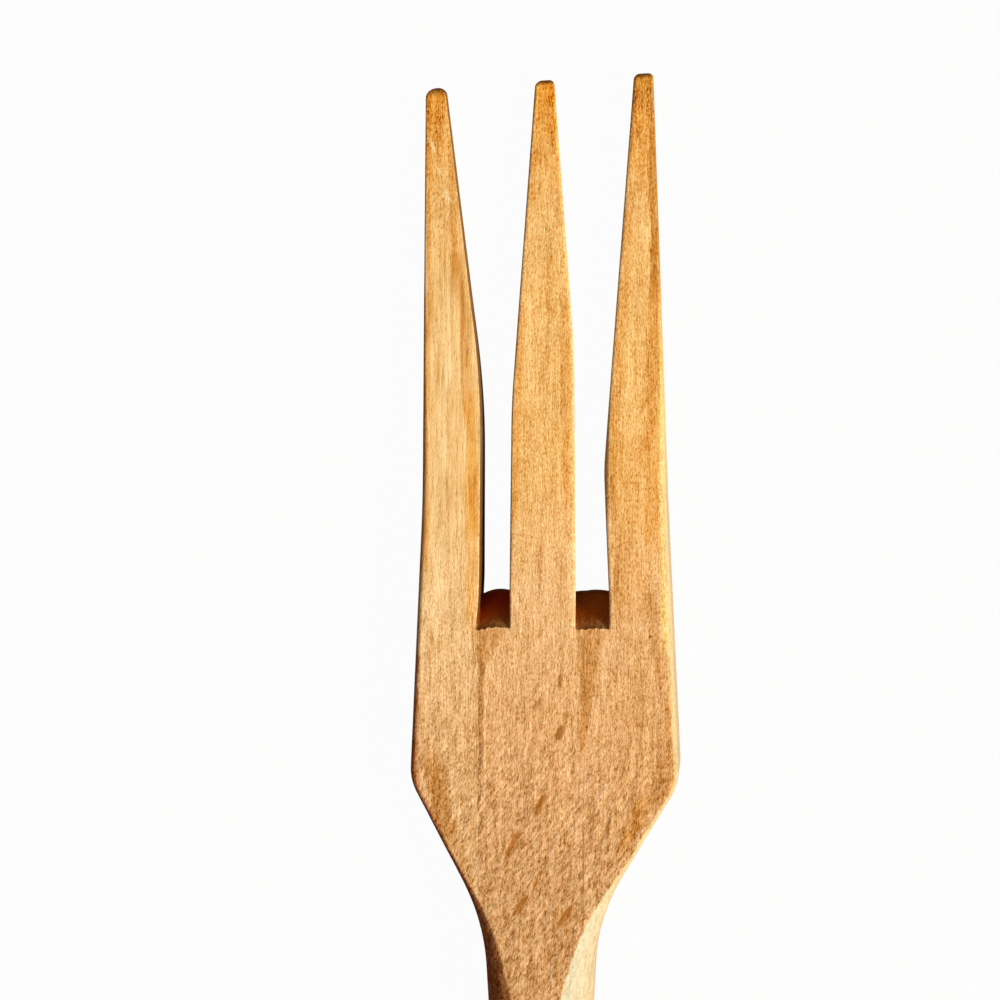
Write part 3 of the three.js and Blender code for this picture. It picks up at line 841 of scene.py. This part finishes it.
def seam_mark(shape, x, y):
    """How far a joint stands open: the left one on the head, the right one below the shoulder."""
    left_open = smooth_step(y, *LEFT_OPENS) * (1 - 0.8 * smooth_step(y, *LEFT_CLOSES))
    right_open = smooth_step(y, *RIGHT_OPENS) * (1 - smooth_step(y, *RIGHT_CLOSES))
    left_away = np.abs(x - shape.left_joint - shape.waver(y))
    right_away = np.abs(x - shape.right_joint)
    left_seam = (0.15 + 0.8 * left_open) * (1 - smooth_step(left_away, *LEFT_SEAM_WIDTH))
    right_seam = (0.1 + 0.5 * right_open) * (1 - smooth_step(right_away, *RIGHT_SEAM_WIDTH))
    return np.maximum(left_seam, right_seam)


def add_stave(name, shape, sides, start, points):
    """One piece of wood or one film of glue, with the marks that its material reads."""
    rings, marks = stave_rings(shape, sides, start, points)
    x, y, z = rings[:, :, 0], rings[:, :, 1], rings[:, :, 2]
    depth = shape.face(y) - z
    marks.update(edge_marks(shape, x, y, depth))
    # Where the torn strokes' brown shows, with painted shade darkest at their left
    marks["torn"] = torn_and_shaded_strokes(x, y)[1] * (1 - smooth_step(depth, *TORN_DEPTH))
    marks["seam"] = seam_mark(shape, x, y)
    return add_piece(name, rings, marks)


# Shader maths

class Value:
    """A socket in Python arithmetic: each operator adds one Math node to its graph."""

    def __init__(self, graph, socket):
        self.graph = graph
        self.socket = socket

    def math(self, operation, *values):
        return self.graph.node("ShaderNodeMath", {"operation": operation}, dict(enumerate(values)))

    def __add__(self, other):
        return self.math("ADD", self, other)

    def __radd__(self, other):
        return self.math("ADD", other, self)

    def __sub__(self, other):
        return self.math("SUBTRACT", self, other)

    def __rsub__(self, other):
        return self.math("SUBTRACT", other, self)

    def __mul__(self, other):
        return self.math("MULTIPLY", self, other)

    def __rmul__(self, other):
        return self.math("MULTIPLY", other, self)

    def __abs__(self):
        return self.math("ABSOLUTE", self)

    def step(self, low, high):
        """Smooth step from 0 at low to 1 at high."""
        sockets = {"Value": self, "From Min": low, "From Max": high}
        return self.graph.node("ShaderNodeMapRange", {"interpolation_type": "SMOOTHSTEP"}, sockets)


class Graph:
    """The nodes of a material or a world."""

    def __init__(self, owner):
        owner.use_nodes = True
        self.owner = owner
        self.tree = owner.node_tree
        self.tree.nodes.clear()

    def node(self, kind, settings=None, sockets=None, output=0):
        """Adds a node of a kind, sets its settings, then its sockets, and gives an output if it has one."""
        made = self.tree.nodes.new(kind)
        for key, value in (settings or {}).items():
            if key == "stops":
                self.set_stops(made.color_ramp, value)
            else:
                setattr(made, key, value)
        for key, value in (sockets or {}).items():
            if isinstance(value, Value):
                self.tree.links.new(value.socket, made.inputs[key])
            else:
                made.inputs[key].default_value = value
        return Value(self, made.outputs[output]) if made.outputs else None

    def set_stops(self, ramp, stops):
        """Gives a ramp its stops, each a place and a colour."""
        while len(ramp.elements) < len(stops):
            ramp.elements.new(1)
        for element, (place, shade) in zip(ramp.elements, stops):
            element.position = place
            element.color = (*shade, 1)

    def mix(self, share, first, second):
        """Colour between two colours."""
        first = first if isinstance(first, Value) else (*first, 1)
        second = second if isinstance(second, Value) else (*second, 1)
        settings = {"data_type": "RGBA", "clamp_factor": True}
        return self.node("ShaderNodeMix", settings, {0: share, 6: first, 7: second}, 2)

    def noise(self, place, stretch, detail, roughness, distortion=0.0):
        """Noise about 0.5, with its place stretched on each axis, in cycles per millimetre."""
        scaled = self.node("ShaderNodeVectorMath", {"operation": "MULTIPLY"}, {0: place, 1: stretch})
        sockets = {
            "Vector": scaled,
            "Scale": 1,
            "Detail": detail,
            "Roughness": roughness,
            "Distortion": distortion,
        }
        return self.node("ShaderNodeTexNoise", {}, sockets)

    def mark(self, name):
        """A number that the mesh carries at its points."""
        return self.node("ShaderNodeAttribute", {"attribute_name": name}, {}, 2)

    def finish(self, shader, output="ShaderNodeOutputMaterial"):
        """Links a shader to an output, and gives the finished material or world."""
        self.node(output, {}, {"Surface": shader})
        return self.owner


SCREEN_GAMMA = 2.2
PLAIN_GRAIN = (0.92, 1.0, 1.06)  # share of the grain in red, green and blue low on the head
WARM_GRAIN = (0.72, 1.0, 1.1)  # the same on the tines
STROKE = math.radians(33)  # lean of the scraper's strokes on the lower head
SHEEN = 0.1  # the bare wood's Specular IOR Level
BUMP_STRENGTH = 0.6
BUMP_DEPTH = 0.16 * MM

# Where the wood's looks begin or end, in millimetres along the fork, across it or up from its back
DRIFT_START = -60  # of the colours along the fork
DRIFT_LENGTH = 192
PALE_TOP = (118, 80)
PALE_FOOT = (12, 44)
LOWER_HEAD = (26, -8)  # of the scraper's chips
DASHED_HEAD = (30, -14)
SCRAPED_TOP = (46, 24)
SCRAPED_FOOT = (-46, -30)
SLEEK_TOP = (114, 92)
SLEEK_FOOT = (24, 56)
CALM_TINES = (0, 50)  # of the fainter grain
STRONG_TIPS = (116, 128)  # of the stronger grain
WARM_TINES = (10, 60)  # of the warmer grain
# of the paler right edge, partly sapwood and partly painted highlight
SAP_HIGHLIGHT_TOP = (84, 50)
SAP_HIGHLIGHT_FOOT = (-140, -50)
SAP_HIGHLIGHT_WANDER = 70  # how far the streaks move those two
NECK_SAP_HIGHLIGHT = (-12, -30)
# of the painted shade on the right tine's outer edge, which the key lamp lights
PAINTED_RIM_SHADE = (76, 100)
# of the painted shade on the slots' walls
WALL_SHADE_TOP = (40, 66)
LEFT_WALL_SHADE = (-4, -10)
# of the painted shade on the slots' floors, and of the painted light towards the face
RIGHT_FLOOR = (-4, 6)
FLOOR_FRONT = (3, 9)
FLOOR_FIBRES = (6, 10)

# Noises in the wood: cycles per millimetre across, along and through it, detail, roughness and distortion
BROAD = ((0.22, 0.012, 0.22), 3, 0.55, 0.4)
STREAKS = ((0.9, 0.02, 0.9), 3, 0.6, 0.2)
THREADS = ((1.9, 0.035, 1.9), 2, 0.5)
FIBRES = ((3.2, 0.14, 3.2), 3, 0.6)
MOTTLE = ((0.7, 0.28, 0.7), 3, 0.6)
FLECKS = ((1.5, 0.33, 1.5), 2, 0.55)
GRAIN = ((3.4, 1.6, 3.4), 2, 0.6)
FINE = ((5.5, 1.7, 5.5), 1, 0.5)
PORES = ((5.5, 0.55, 5.5), 1, 0.5)
CHIPS = ((1.8, 0.6, 1.8), 3, 0.6)
DASHES = ((1.5, 0.45, 1.5), 2, 0.6)
PATCHES = ((0.02, 0.22, 0.02), 3, 0.6)
SPECKLE = ((2.4, 0.4, 1.0), 2, 0.6)

# Bands of other colour in the wood: colour, place across and along at one end and at the other,
# half width at those ends, all in millimetres, and strength.
BANDS = (
    ("amber", 21.4, 131, 21.4, 92, 1.0, 1.0, 0.65),
    ("gold", 21.6, 131, 21.6, 90, 0.9, 0.9, 0.65),
    ("amber", 21.4, 95, 21.5, 45, 1.1, 1.5, 0.6),
    ("straw", 23.1, 72, 23.9, 26, 0.8, 0.8, 0.75),
    ("gold", 19.6, 134, 19.6, 127, 3.0, 3.0, 0.5),
    ("amber", 4.9, 92, 5.0, 54, 0.9, 0.9, 0.5),
    ("amber", -4.0, 92, -4.7, 50, 1.1, 0.8, 0.65),
    ("amber", 17.0, 112, 13.4, 52, 0.9, 0.9, 0.5),
    ("amber", 17.0, 66, 17.5, 32, 4.0, 4.0, 0.3),
    ("gold", 14.0, 60, 14.2, 48, 0.6, 0.6, 0.4),
    ("gold", 15.0, 46, 14.7, 35, 0.55, 0.55, 0.6),
    ("gold", 18.5, 40, 18.0, -4, 5.5, 5.5, 0.13),
    ("gold", 21.6, 36, 22.9, 18, 0.6, 0.8, 0.45),
    ("gold", 25.2, 19, 24.3, -4, 1.0, 2.0, 0.55),
    ("gold", 22.6, 12, 22.8, -4, 0.3, 0.3, 0.5),
    ("gold", 20.6, -2, 16.0, -13, 2.2, 1.4, 0.75),
    ("gold", 9.8, 30, 9.2, 20, 2.7, 1.9, 0.6),
    ("gold", 9.3, 22, 8.1, 5, 1.8, 0.4, 0.7),
    ("gold", -9.4, 30, -10.8, 23, 3.6, 1.4, 0.6),
    ("gold", -11.0, 25, -11.3, 6, 1.0, 0.6, 0.45),
    ("gold", -20.6, 5, -17.4, -11, 2.6, 1.5, 0.7),
    ("gold", -16.2, -9, -12.4, -24, 1.2, 1.2, 0.4),
    ("amber", -21.1, 128, -21.3, 88, 0.8, 0.8, 0.5),
    ("amber", -16.7, 119, -15.9, 97, 0.7, 0.7, 0.55),
    ("amber", -15.6, 100, -13.2, 70, 1.0, 1.1, 0.6),
    ("gold", -15.0, 97, -14.3, 88, 0.5, 0.5, 0.5),
    ("honey", -13.1, 73, -12.6, 48, 1.2, 1.2, 0.8),
    ("amber", -12.6, 60, -12.4, 49, 0.7, 0.7, 0.6),
    ("honey", -12.6, 51, -13.0, 30, 1.1, 1.1, 0.6),
    ("amber", -21.4, 90, -21.9, 40, 0.8, 0.9, 0.7),
    ("pale", -17.1, 92, -18.7, 62, 1.2, 1.2, 0.4),
    ("pale", -18.6, 66, -19.4, 34, 1.2, 1.2, 0.5),
    ("pale", -20.6, 121.8, -19.8, 119.4, 0.35, 0.35, 0.8),
    ("pale", -19.3, 116.4, -18.3, 114.6, 0.35, 0.35, 0.6),
    ("pale", -17.9, 112.2, -16.9, 109.9, 0.45, 0.45, 0.8),
    ("glue", 21.2, 28.35, 21.2, 27.95, 0.32, 0.32, 0.9),
)


def band_share(x, y, band, wobble):
    """1 on a band and 0 away from it, with wavering sides and ends that fade out."""
    _, first_x, first_y, last_x, last_y, first_half, last_half, strength = band
    slope = (last_x - first_x) / (last_y - first_y)
    taper = (last_half - first_half) / (last_y - first_y)
    fade = min(3, (first_y - last_y) / 3)
    half = y.math("MAXIMUM", y * taper + (first_half - first_y * taper), 0.2)
    sway = wobble * y.math("MINIMUM", half, 0.8)
    away = abs(x - y * slope + sway - (first_x - first_y * slope))
    ends = y.step(last_y - fade, last_y + fade) * y.step(first_y + fade, first_y - fade)
    return away.step(half * 1.2, half * 0.6) * ends * strength


class Wood(Graph):
    """Sanded beech: a drift of colour along the fork, bands, grain, and painted highlight and shade on edges
    and slots.

    The grain is one tone, the sum of noises drawn out along the fork, taken away from the colour as it looks
    on a screen. Places are in millimetres. shift moves a stave's grain away from the others' grain, fade is
    how far the stave is paler, and sleek is how far its short marks give way to long threads on the tine.
    """

    def __init__(self, name, colours, shift=(0, 0, 0), fade=0.0, sleek=0.0):
        super().__init__(bpy.data.materials.new(name))
        self.colours = colours
        place = self.node("ShaderNodeTexCoord", {}, {}, 3)
        scaled = self.node("ShaderNodeVectorMath", {"operation": "SCALE"}, {0: place, 3: 1 / MM})
        axes = (self.node("ShaderNodeSeparateXYZ", {}, {0: scaled}, axis) for axis in range(3))
        self.x, self.y, self.z = axes
        own = self.node("ShaderNodeVectorMath", {"operation": "ADD"}, {0: scaled, 1: shift})
        self.own = own
        self.streaks = self.noise(own, *STREAKS)
        self.fibres = self.noise(own, *FIBRES)
        self.grain = self.noise(own, *GRAIN)
        self.fine = self.noise(own, *FINE)
        self.pore = self.noise(own, *PORES).step(0.62, 0.72)
        self.torn = self.mark("torn") * (0.65 + self.grain * 0.8)
        turned = {"Vector": own, "Angle": STROKE}
        stroke = self.node("ShaderNodeVectorRotate", {"rotation_type": "Z_AXIS"}, turned)
        self.low = self.y.step(*LOWER_HEAD)
        self.chips = (self.noise(stroke, *CHIPS) - 0.5) * self.low
        self.dashes = self.noise(stroke, *DASHES).step(0.54, 0.74) * self.y.step(*DASHED_HEAD)
        shade = self.edged(self.banded(self.drift(fade)))
        self.shade = self.painted_slot_shade(self.seamed(self.grained(shade, sleek)))
        height = self.grain * (0.5 - self.low * 0.2) + self.fibres * 0.6 + self.fine * 0.4
        height = height - self.pore * 0.5 - self.dashes * 0.6 - self.chips * 1.2
        sockets = {"Strength": BUMP_STRENGTH, "Distance": BUMP_DEPTH, "Height": height}
        self.bump = self.node("ShaderNodeBump", {}, sockets)

    def drift(self, fade):
        """Colour along the fork: tan neck, paler head, light orange tines, orange tips."""
        colours = self.colours
        broad = self.noise(self.own, *BROAD)
        stops = (
            (0.0, colours.neck), (0.2, colours.neck), (0.36, colours.head), (0.5, colours.shoulder),
            (0.62, colours.tine), (0.88, colours.tine), (1.0, colours.tip),
        )
        along = (self.y - DRIFT_START) * (1 / DRIFT_LENGTH) + (broad - 0.5) * 0.05
        shade = self.node("ShaderNodeValToRGB", {"stops": stops}, {"Fac": along})
        paler = self.y.step(*PALE_TOP) * (0.45 + self.y.step(*PALE_FOOT) * 0.55) * fade
        return self.mix(paler, shade, colours.pale)

    def banded(self, shade):
        """Bands of other colour, and torn strokes tinted browner, darkest at their left as painted shade."""
        wobble = (self.streaks - 0.5) * 2 + (self.fibres - 0.5) * 1.5
        for band in BANDS:
            shade = self.mix(band_share(self.x, self.y, band, wobble), shade, getattr(self.colours, band[0]))
        # Torn strokes: browner wood, darkest at their left as painted shade
        return self.mix(self.torn, shade, self.colours.torn_and_shaded_brown)

    def edged(self, shade):
        """Paler colour on the right edge, partly sapwood and partly painted highlight, painted shade on the
        left edge, and the tips' ends a little darker.
        """
        colours = self.colours
        # Right edge, which faces the key lamp: paler colour, partly sapwood and partly painted highlight
        ragged = (self.mark("sap") + (self.fibres - 0.5) * 0.5).step(0.1, 0.9)
        grown = self.y + (self.streaks - 0.5) * SAP_HIGHLIGHT_WANDER
        self.sap = ragged * grown.step(*SAP_HIGHLIGHT_TOP) * grown.step(*SAP_HIGHLIGHT_FOOT)
        sapwood_and_highlight = self.mix(self.y.step(*NECK_SAP_HIGHLIGHT), colours.sap, colours.neck_sap_and_highlight)
        sapwood_and_highlight = self.mix(self.mark("rim") + (self.streaks - 0.5) * 1.2, sapwood_and_highlight, colours.sap_and_highlight_rim)
        shade = self.mix(self.sap * (0.7 + self.streaks * 0.5), shade, sapwood_and_highlight)
        # Painted shade on the left edge, which faces away from the key lamp
        shade = self.mix(self.mark("heart") * (0.7 + self.fibres * 0.4), shade, colours.heart)
        # Painted shade on the right tine's outer edge, which the key lamp lights
        shade = self.mix(self.mark("rim") * self.y.step(*PAINTED_RIM_SHADE) * 0.6, shade, colours.gold)
        # The tips' ends a little darker, towards the same brown
        return self.mix(self.mark("tip") * 0.3, shade, colours.heart)

    def grained(self, shade, sleek):
        """Streaks, fibres, speckles and pores, which all darken more than they lighten."""
        mottle = self.noise(self.own, *MOTTLE)
        threads = self.noise(self.own, *THREADS)
        flecks = self.noise(self.own, *FLECKS)
        sleeker = self.y.step(*SLEEK_FOOT) * self.y.step(*SLEEK_TOP) * sleek
        scraped = self.y.step(*SCRAPED_FOOT) * self.y.step(*SCRAPED_TOP)
        tone = (self.grain - 0.5) * (2.3 - self.low - scraped * 0.4) + (self.fine - 0.5) * 2.2
        tone = tone + (self.fibres - 0.5) * (1.9 - self.low * 0.5) + self.chips * 2.6
        tone = tone + (flecks - 0.5) * scraped * (1.1 - self.low * 0.9)
        tone = tone * (1 - sleeker * 0.7) + (threads - 0.5) * sleeker * 1.8
        tone = tone + (self.streaks - 0.5) * (1.6 - scraped * 0.4) + (mottle - 0.5) * (1 - scraped * 0.3)
        tone = tone + self.pore * 0.4 + self.dashes * 0.35
        tone = tone * (1.02 - self.y.step(*CALM_TINES) * 0.2 + self.y.step(*STRONG_TIPS) * 0.45)
        tone = tone * (1 - self.torn * 0.7)
        darker = tone.math("MAXIMUM", tone, 0.0)
        tone = (tone * 0.18 + darker * 0.1) * (1 - self.sap * 0.65)
        shown = self.node("ShaderNodeGamma", {}, {"Color": shade, "Gamma": 1 / SCREEN_GAMMA})
        share = self.mix(self.y.step(*WARM_TINES), PLAIN_GRAIN, WARM_GRAIN)
        change = self.node("ShaderNodeVectorMath", {"operation": "SCALE"}, {0: share, 3: tone})
        moved = self.node("ShaderNodeVectorMath", {"operation": "SUBTRACT"}, {0: shown, 1: change})
        return self.node("ShaderNodeGamma", {}, {"Color": moved, "Gamma": SCREEN_GAMMA})

    def seamed(self, shade):
        """Dark hairlines where a joint stands a little open."""
        patches = self.noise(self.own, *PATCHES)
        open_joint = (patches + (self.grain - 0.5) * 0.7).step(0.32, 0.6)
        return self.mix(self.mark("seam") * open_joint * (1 - self.sap), shade, self.colours.glue)

    def painted_slot_shade(self, shade):
        """Painted shade in the slots: darkened walls, warmer at the left, and floors of end grain darkened
        with painted shade, lighter towards the face as painted light, with pale fibres there.
        """
        colours = self.colours
        # Painted shade on the slots' walls, which lie in the tines' shadow
        shaded_wall_colour = self.mix(self.x.step(*LEFT_WALL_SHADE) * 0.18, colours.painted_wall_shade, colours.torn_and_shaded_brown)
        wall = self.mix(self.y.step(*WALL_SHADE_TOP), shaded_wall_colour, colours.sawn)
        shade = self.mix(self.mark("sawn") * (0.75 + self.fibres * 0.4), shade, wall)
        # Floors: end grain darkened with painted shade, lighter towards the face as painted light, with pale
        # fibres
        dark = self.mix(self.x.step(*RIGHT_FLOOR), colours.shaded_end_grain, colours.right_shaded_end_grain)
        floor = self.mix(self.z.step(*FLOOR_FRONT) * (0.5 + self.grain), dark, colours.painted_lit_floor_front)
        speckle = self.noise(self.own, *SPECKLE)
        torn = (speckle + self.fine * 0.4 + self.z.step(*FLOOR_FIBRES) * 0.3).step(0.9, 1.0)
        floor = self.mix(torn * 0.7, floor, colours.tine)
        return self.mix(self.mark("floor"), shade, floor)

    def finish_wood(self):
        """The material: bare wood, rougher in its grain and its pores."""
        gloss = 0.52 + self.grain * 0.22 + self.pore * 0.1
        sockets = {
            "Base Color": self.shade,
            "Roughness": gloss,
            "Specular IOR Level": SHEEN,
            "Normal": self.bump,
        }
        return self.finish(self.node("ShaderNodeBsdfPrincipled", {}, sockets))


# The floor, in metres
FLOOR_WHITE = 0.97  # share of it that a camera sees as white
FLOOR_HALF = 3.0  # half its side
FLOOR_GAP = 0.1 * MM  # below the fork's back


def floor_material(colours):
    """Pale floor that a camera sees as nearly white, with the fork's shadow left faintly on it."""
    graph = Graph(bpy.data.materials.new("pale_floor"))
    seen = graph.node("ShaderNodeLightPath", {}, {}, 0) * FLOOR_WHITE
    lit = graph.node("ShaderNodeBsdfDiffuse", {}, {"Color": (*colours.floor, 1)})
    white = graph.node("ShaderNodeEmission", {}, {"Color": (1, 1, 1, 1), "Strength": 1})
    surface = graph.node("ShaderNodeMixShader", {}, {0: seen, 1: lit, 2: white})
    return graph.finish(surface)


# Operators

def settle(piece, material, node):
    """Gives a piece its finish and its body, and hides the CAD part that it stands for."""
    piece.data.materials.append(material)
    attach(piece, "root")
    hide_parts(node)


class FORK_OT_handle_stick(bpy.types.Operator):
    """Carve the handle stick: handle, neck and centre tine in one length of wood"""

    bl_idname = "fork.handle_stick"
    bl_label = "Handle Stick"

    def execute(self, context):
        sizes = context.scene.fork_sizes
        shape = ForkShape(sizes)
        left = Side("left", LEFT_FILM[1], shape.centre_left, shape.left_slot, STICK_LEFT_ARRIS)
        lean = (sizes.centre_lean, sizes.centre_lean)
        right = Side("right", RIGHT_FILM[0], shape.centre_right, shape.right_slot, STICK_RIGHT_ARRIS, lean)
        piece = add_stave("stick_of_wood", shape, (left, right), -sizes.handle_length, STICK_POINTS)
        finish = Wood("stick_wood", context.scene.fork_colours)
        settle(piece, finish.finish_wood(), "handle_stick")
        return {"FINISHED"}


class FORK_OT_cheeks(bpy.types.Operator):
    """Carve the two cheeks: a shoulder and an outer tine on each side of the stick"""

    bl_idname = "fork.cheeks"
    bl_label = "Cheeks"

    def execute(self, context):
        sizes = context.scene.fork_sizes
        colours = context.scene.fork_colours
        shape = ForkShape(sizes, sizes.left_tip_round)
        lean = (sizes.left_lean, sizes.left_tip_lean)
        wear = LEFT_CHEEK_ARRIS
        inner = Side("right", LEFT_FILM[0], shape.left_inner, shape.left_slot, wear, lean, shade_to_edge=1)
        start = shape.feather(shape.left, -LEFT_FILM[0]) + LEFT_FEATHER
        left = add_stave("left_cheek_of_wood", shape, (Side("left"), inner), start, CHEEK_POINTS)
        finish = Wood("left_cheek_wood", colours, shift=(37, 210, 11), fade=0.42, sleek=1.0)
        settle(left, finish.finish_wood(), "left_cheek")
        shape = ForkShape(sizes)
        wear = RIGHT_CHEEK_ARRIS
        inner = Side("left", RIGHT_FILM[1], shape.right_inner, shape.right_slot, wear, swell=SWELL_WEAR)
        start = shape.feather(shape.right, RIGHT_FILM[1]) + FEATHER
        right = add_stave("right_cheek_of_wood", shape, (inner, Side("right")), start, CHEEK_POINTS)
        finish = Wood("right_cheek_wood", colours, shift=(83, 90, 29))
        settle(right, finish.finish_wood(), "right_cheek")
        return {"FINISHED"}


class FORK_OT_glue_lines(bpy.types.Operator):
    """Lay the two films of glue between the stick and its cheeks"""

    bl_idname = "fork.glue_lines"
    bl_label = "Glue Lines"

    def execute(self, context):
        shape = ForkShape(context.scene.fork_sizes)
        material = Wood("dried_glue", context.scene.fork_colours).finish_wood()
        films = (
            ("left", LEFT_FILM, shape.left, LEFT_FILM[1], shape.left_slot),
            ("right", RIGHT_FILM, shape.right, RIGHT_FILM[0], shape.right_slot),
        )
        for name, (low, high), edge, plane, slot in films:
            start = shape.feather(edge, abs(plane)) + FEATHER
            sides = (Side("left", low, None, slot), Side("right", high, None, slot))
            piece = add_stave(name + "_film_of_glue", shape, sides, start, FILM_POINTS)
            settle(piece, material, name + "_glue_line")
        return {"FINISHED"}


class FORK_OT_stage(bpy.types.Operator):
    """Set the pale floor, the soft light and the camera"""

    bl_idname = "fork.stage"
    bl_label = "Stage"

    def execute(self, context):
        scene = context.scene
        add_floor(scene.fork_colours)
        add_lights(scene)
        add_camera(scene)
        scene.view_settings.view_transform = "Standard"
        return {"FINISHED"}


def add_floor(colours):
    """A square floor just under the fork's back."""
    half = FLOOR_HALF
    under = CAD_BOX[0].z - FLOOR_GAP
    corners = [(-half, -half, under), (half, -half, under), (half, half, under), (-half, half, under)]
    mesh = bpy.data.meshes.new("floor")
    mesh.from_pydata(corners, [], [(0, 1, 2, 3)])
    mesh.materials.append(floor_material(colours))
    floor = bpy.data.objects.new("floor", mesh)
    bpy.context.scene.collection.objects.link(floor)


def add_lights(scene):
    """A soft key lamp low at the right, and an even fill from all round that a camera sees as white."""
    stage = scene.fork_stage
    lamp = bpy.data.lights.new("key", "AREA")
    lamp.energy = stage.key_power
    lamp.size = stage.key_size
    key = bpy.data.objects.new("key", lamp)
    direction = Vector(stage.key_direction).normalized()
    key.location = Vector(stage.target) + direction * stage.key_distance
    key.rotation_mode = "QUATERNION"
    key.rotation_quaternion = direction.to_track_quat("Z", "Y")
    scene.collection.objects.link(key)
    graph = Graph(bpy.data.worlds.new("studio"))
    seen = graph.node("ShaderNodeLightPath", {}, {}, 0)
    around = {"Color": (*stage.fill_colour, 1), "Strength": stage.fill}
    fill = graph.node("ShaderNodeBackground", {}, around)
    white = graph.node("ShaderNodeBackground", {}, {"Color": (1, 1, 1, 1), "Strength": 1})
    mixed = graph.node("ShaderNodeMixShader", {}, {0: seen, 1: fill, 2: white})
    scene.world = graph.finish(mixed, "ShaderNodeOutputWorld")


def add_camera(scene):
    """A camera at the eye, looking at the target, with the fork's tips up."""
    stage = scene.fork_stage
    data = bpy.data.cameras.new("camera")
    data.lens = stage.lens
    data.clip_start = 0.01
    camera = bpy.data.objects.new("camera", data)
    ahead = (Vector(stage.target) - Vector(stage.eye)).normalized()
    across = ahead.cross(Vector((math.sin(stage.roll), math.cos(stage.roll), 0))).normalized()
    turned = Matrix((across, across.cross(ahead), -ahead)).transposed()
    camera.matrix_world = Matrix.Translation(Vector(stage.eye)) @ turned.to_4x4()
    scene.collection.objects.link(camera)
    scene.camera = camera


class FORK_PT_panel(bpy.types.Panel):
    """Steps that build the fork"""

    bl_idname = "FORK_PT_panel"
    bl_label = "Wooden Fork"
    bl_space_type = "VIEW_3D"
    bl_region_type = "UI"
    bl_category = "Fork"

    def draw(self, context):
        for step in STEPS:
            self.layout.operator(step.bl_idname)


STEPS = (FORK_OT_stage, FORK_OT_handle_stick, FORK_OT_cheeks, FORK_OT_glue_lines)
SETTINGS = {"fork_sizes": ForkSizes, "fork_colours": ForkColours, "fork_stage": ForkStage}
CLASSES = (*SETTINGS.values(), *STEPS, FORK_PT_panel)


def register():
    for each in CLASSES:
        bpy.utils.register_class(each)
    for name, group in SETTINGS.items():
        setattr(bpy.types.Scene, name, PointerProperty(type=group))


def unregister():
    for name in SETTINGS:
        delattr(bpy.types.Scene, name)
    for each in reversed(CLASSES):
        bpy.utils.unregister_class(each)


def main():
    """Registers the classes, sets the stage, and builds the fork."""
    register()
    bpy.ops.fork.stage()
    bpy.ops.fork.handle_stick()
    bpy.ops.fork.cheeks()
    bpy.ops.fork.glue_lines()


if __name__ == "__main__":
    main()
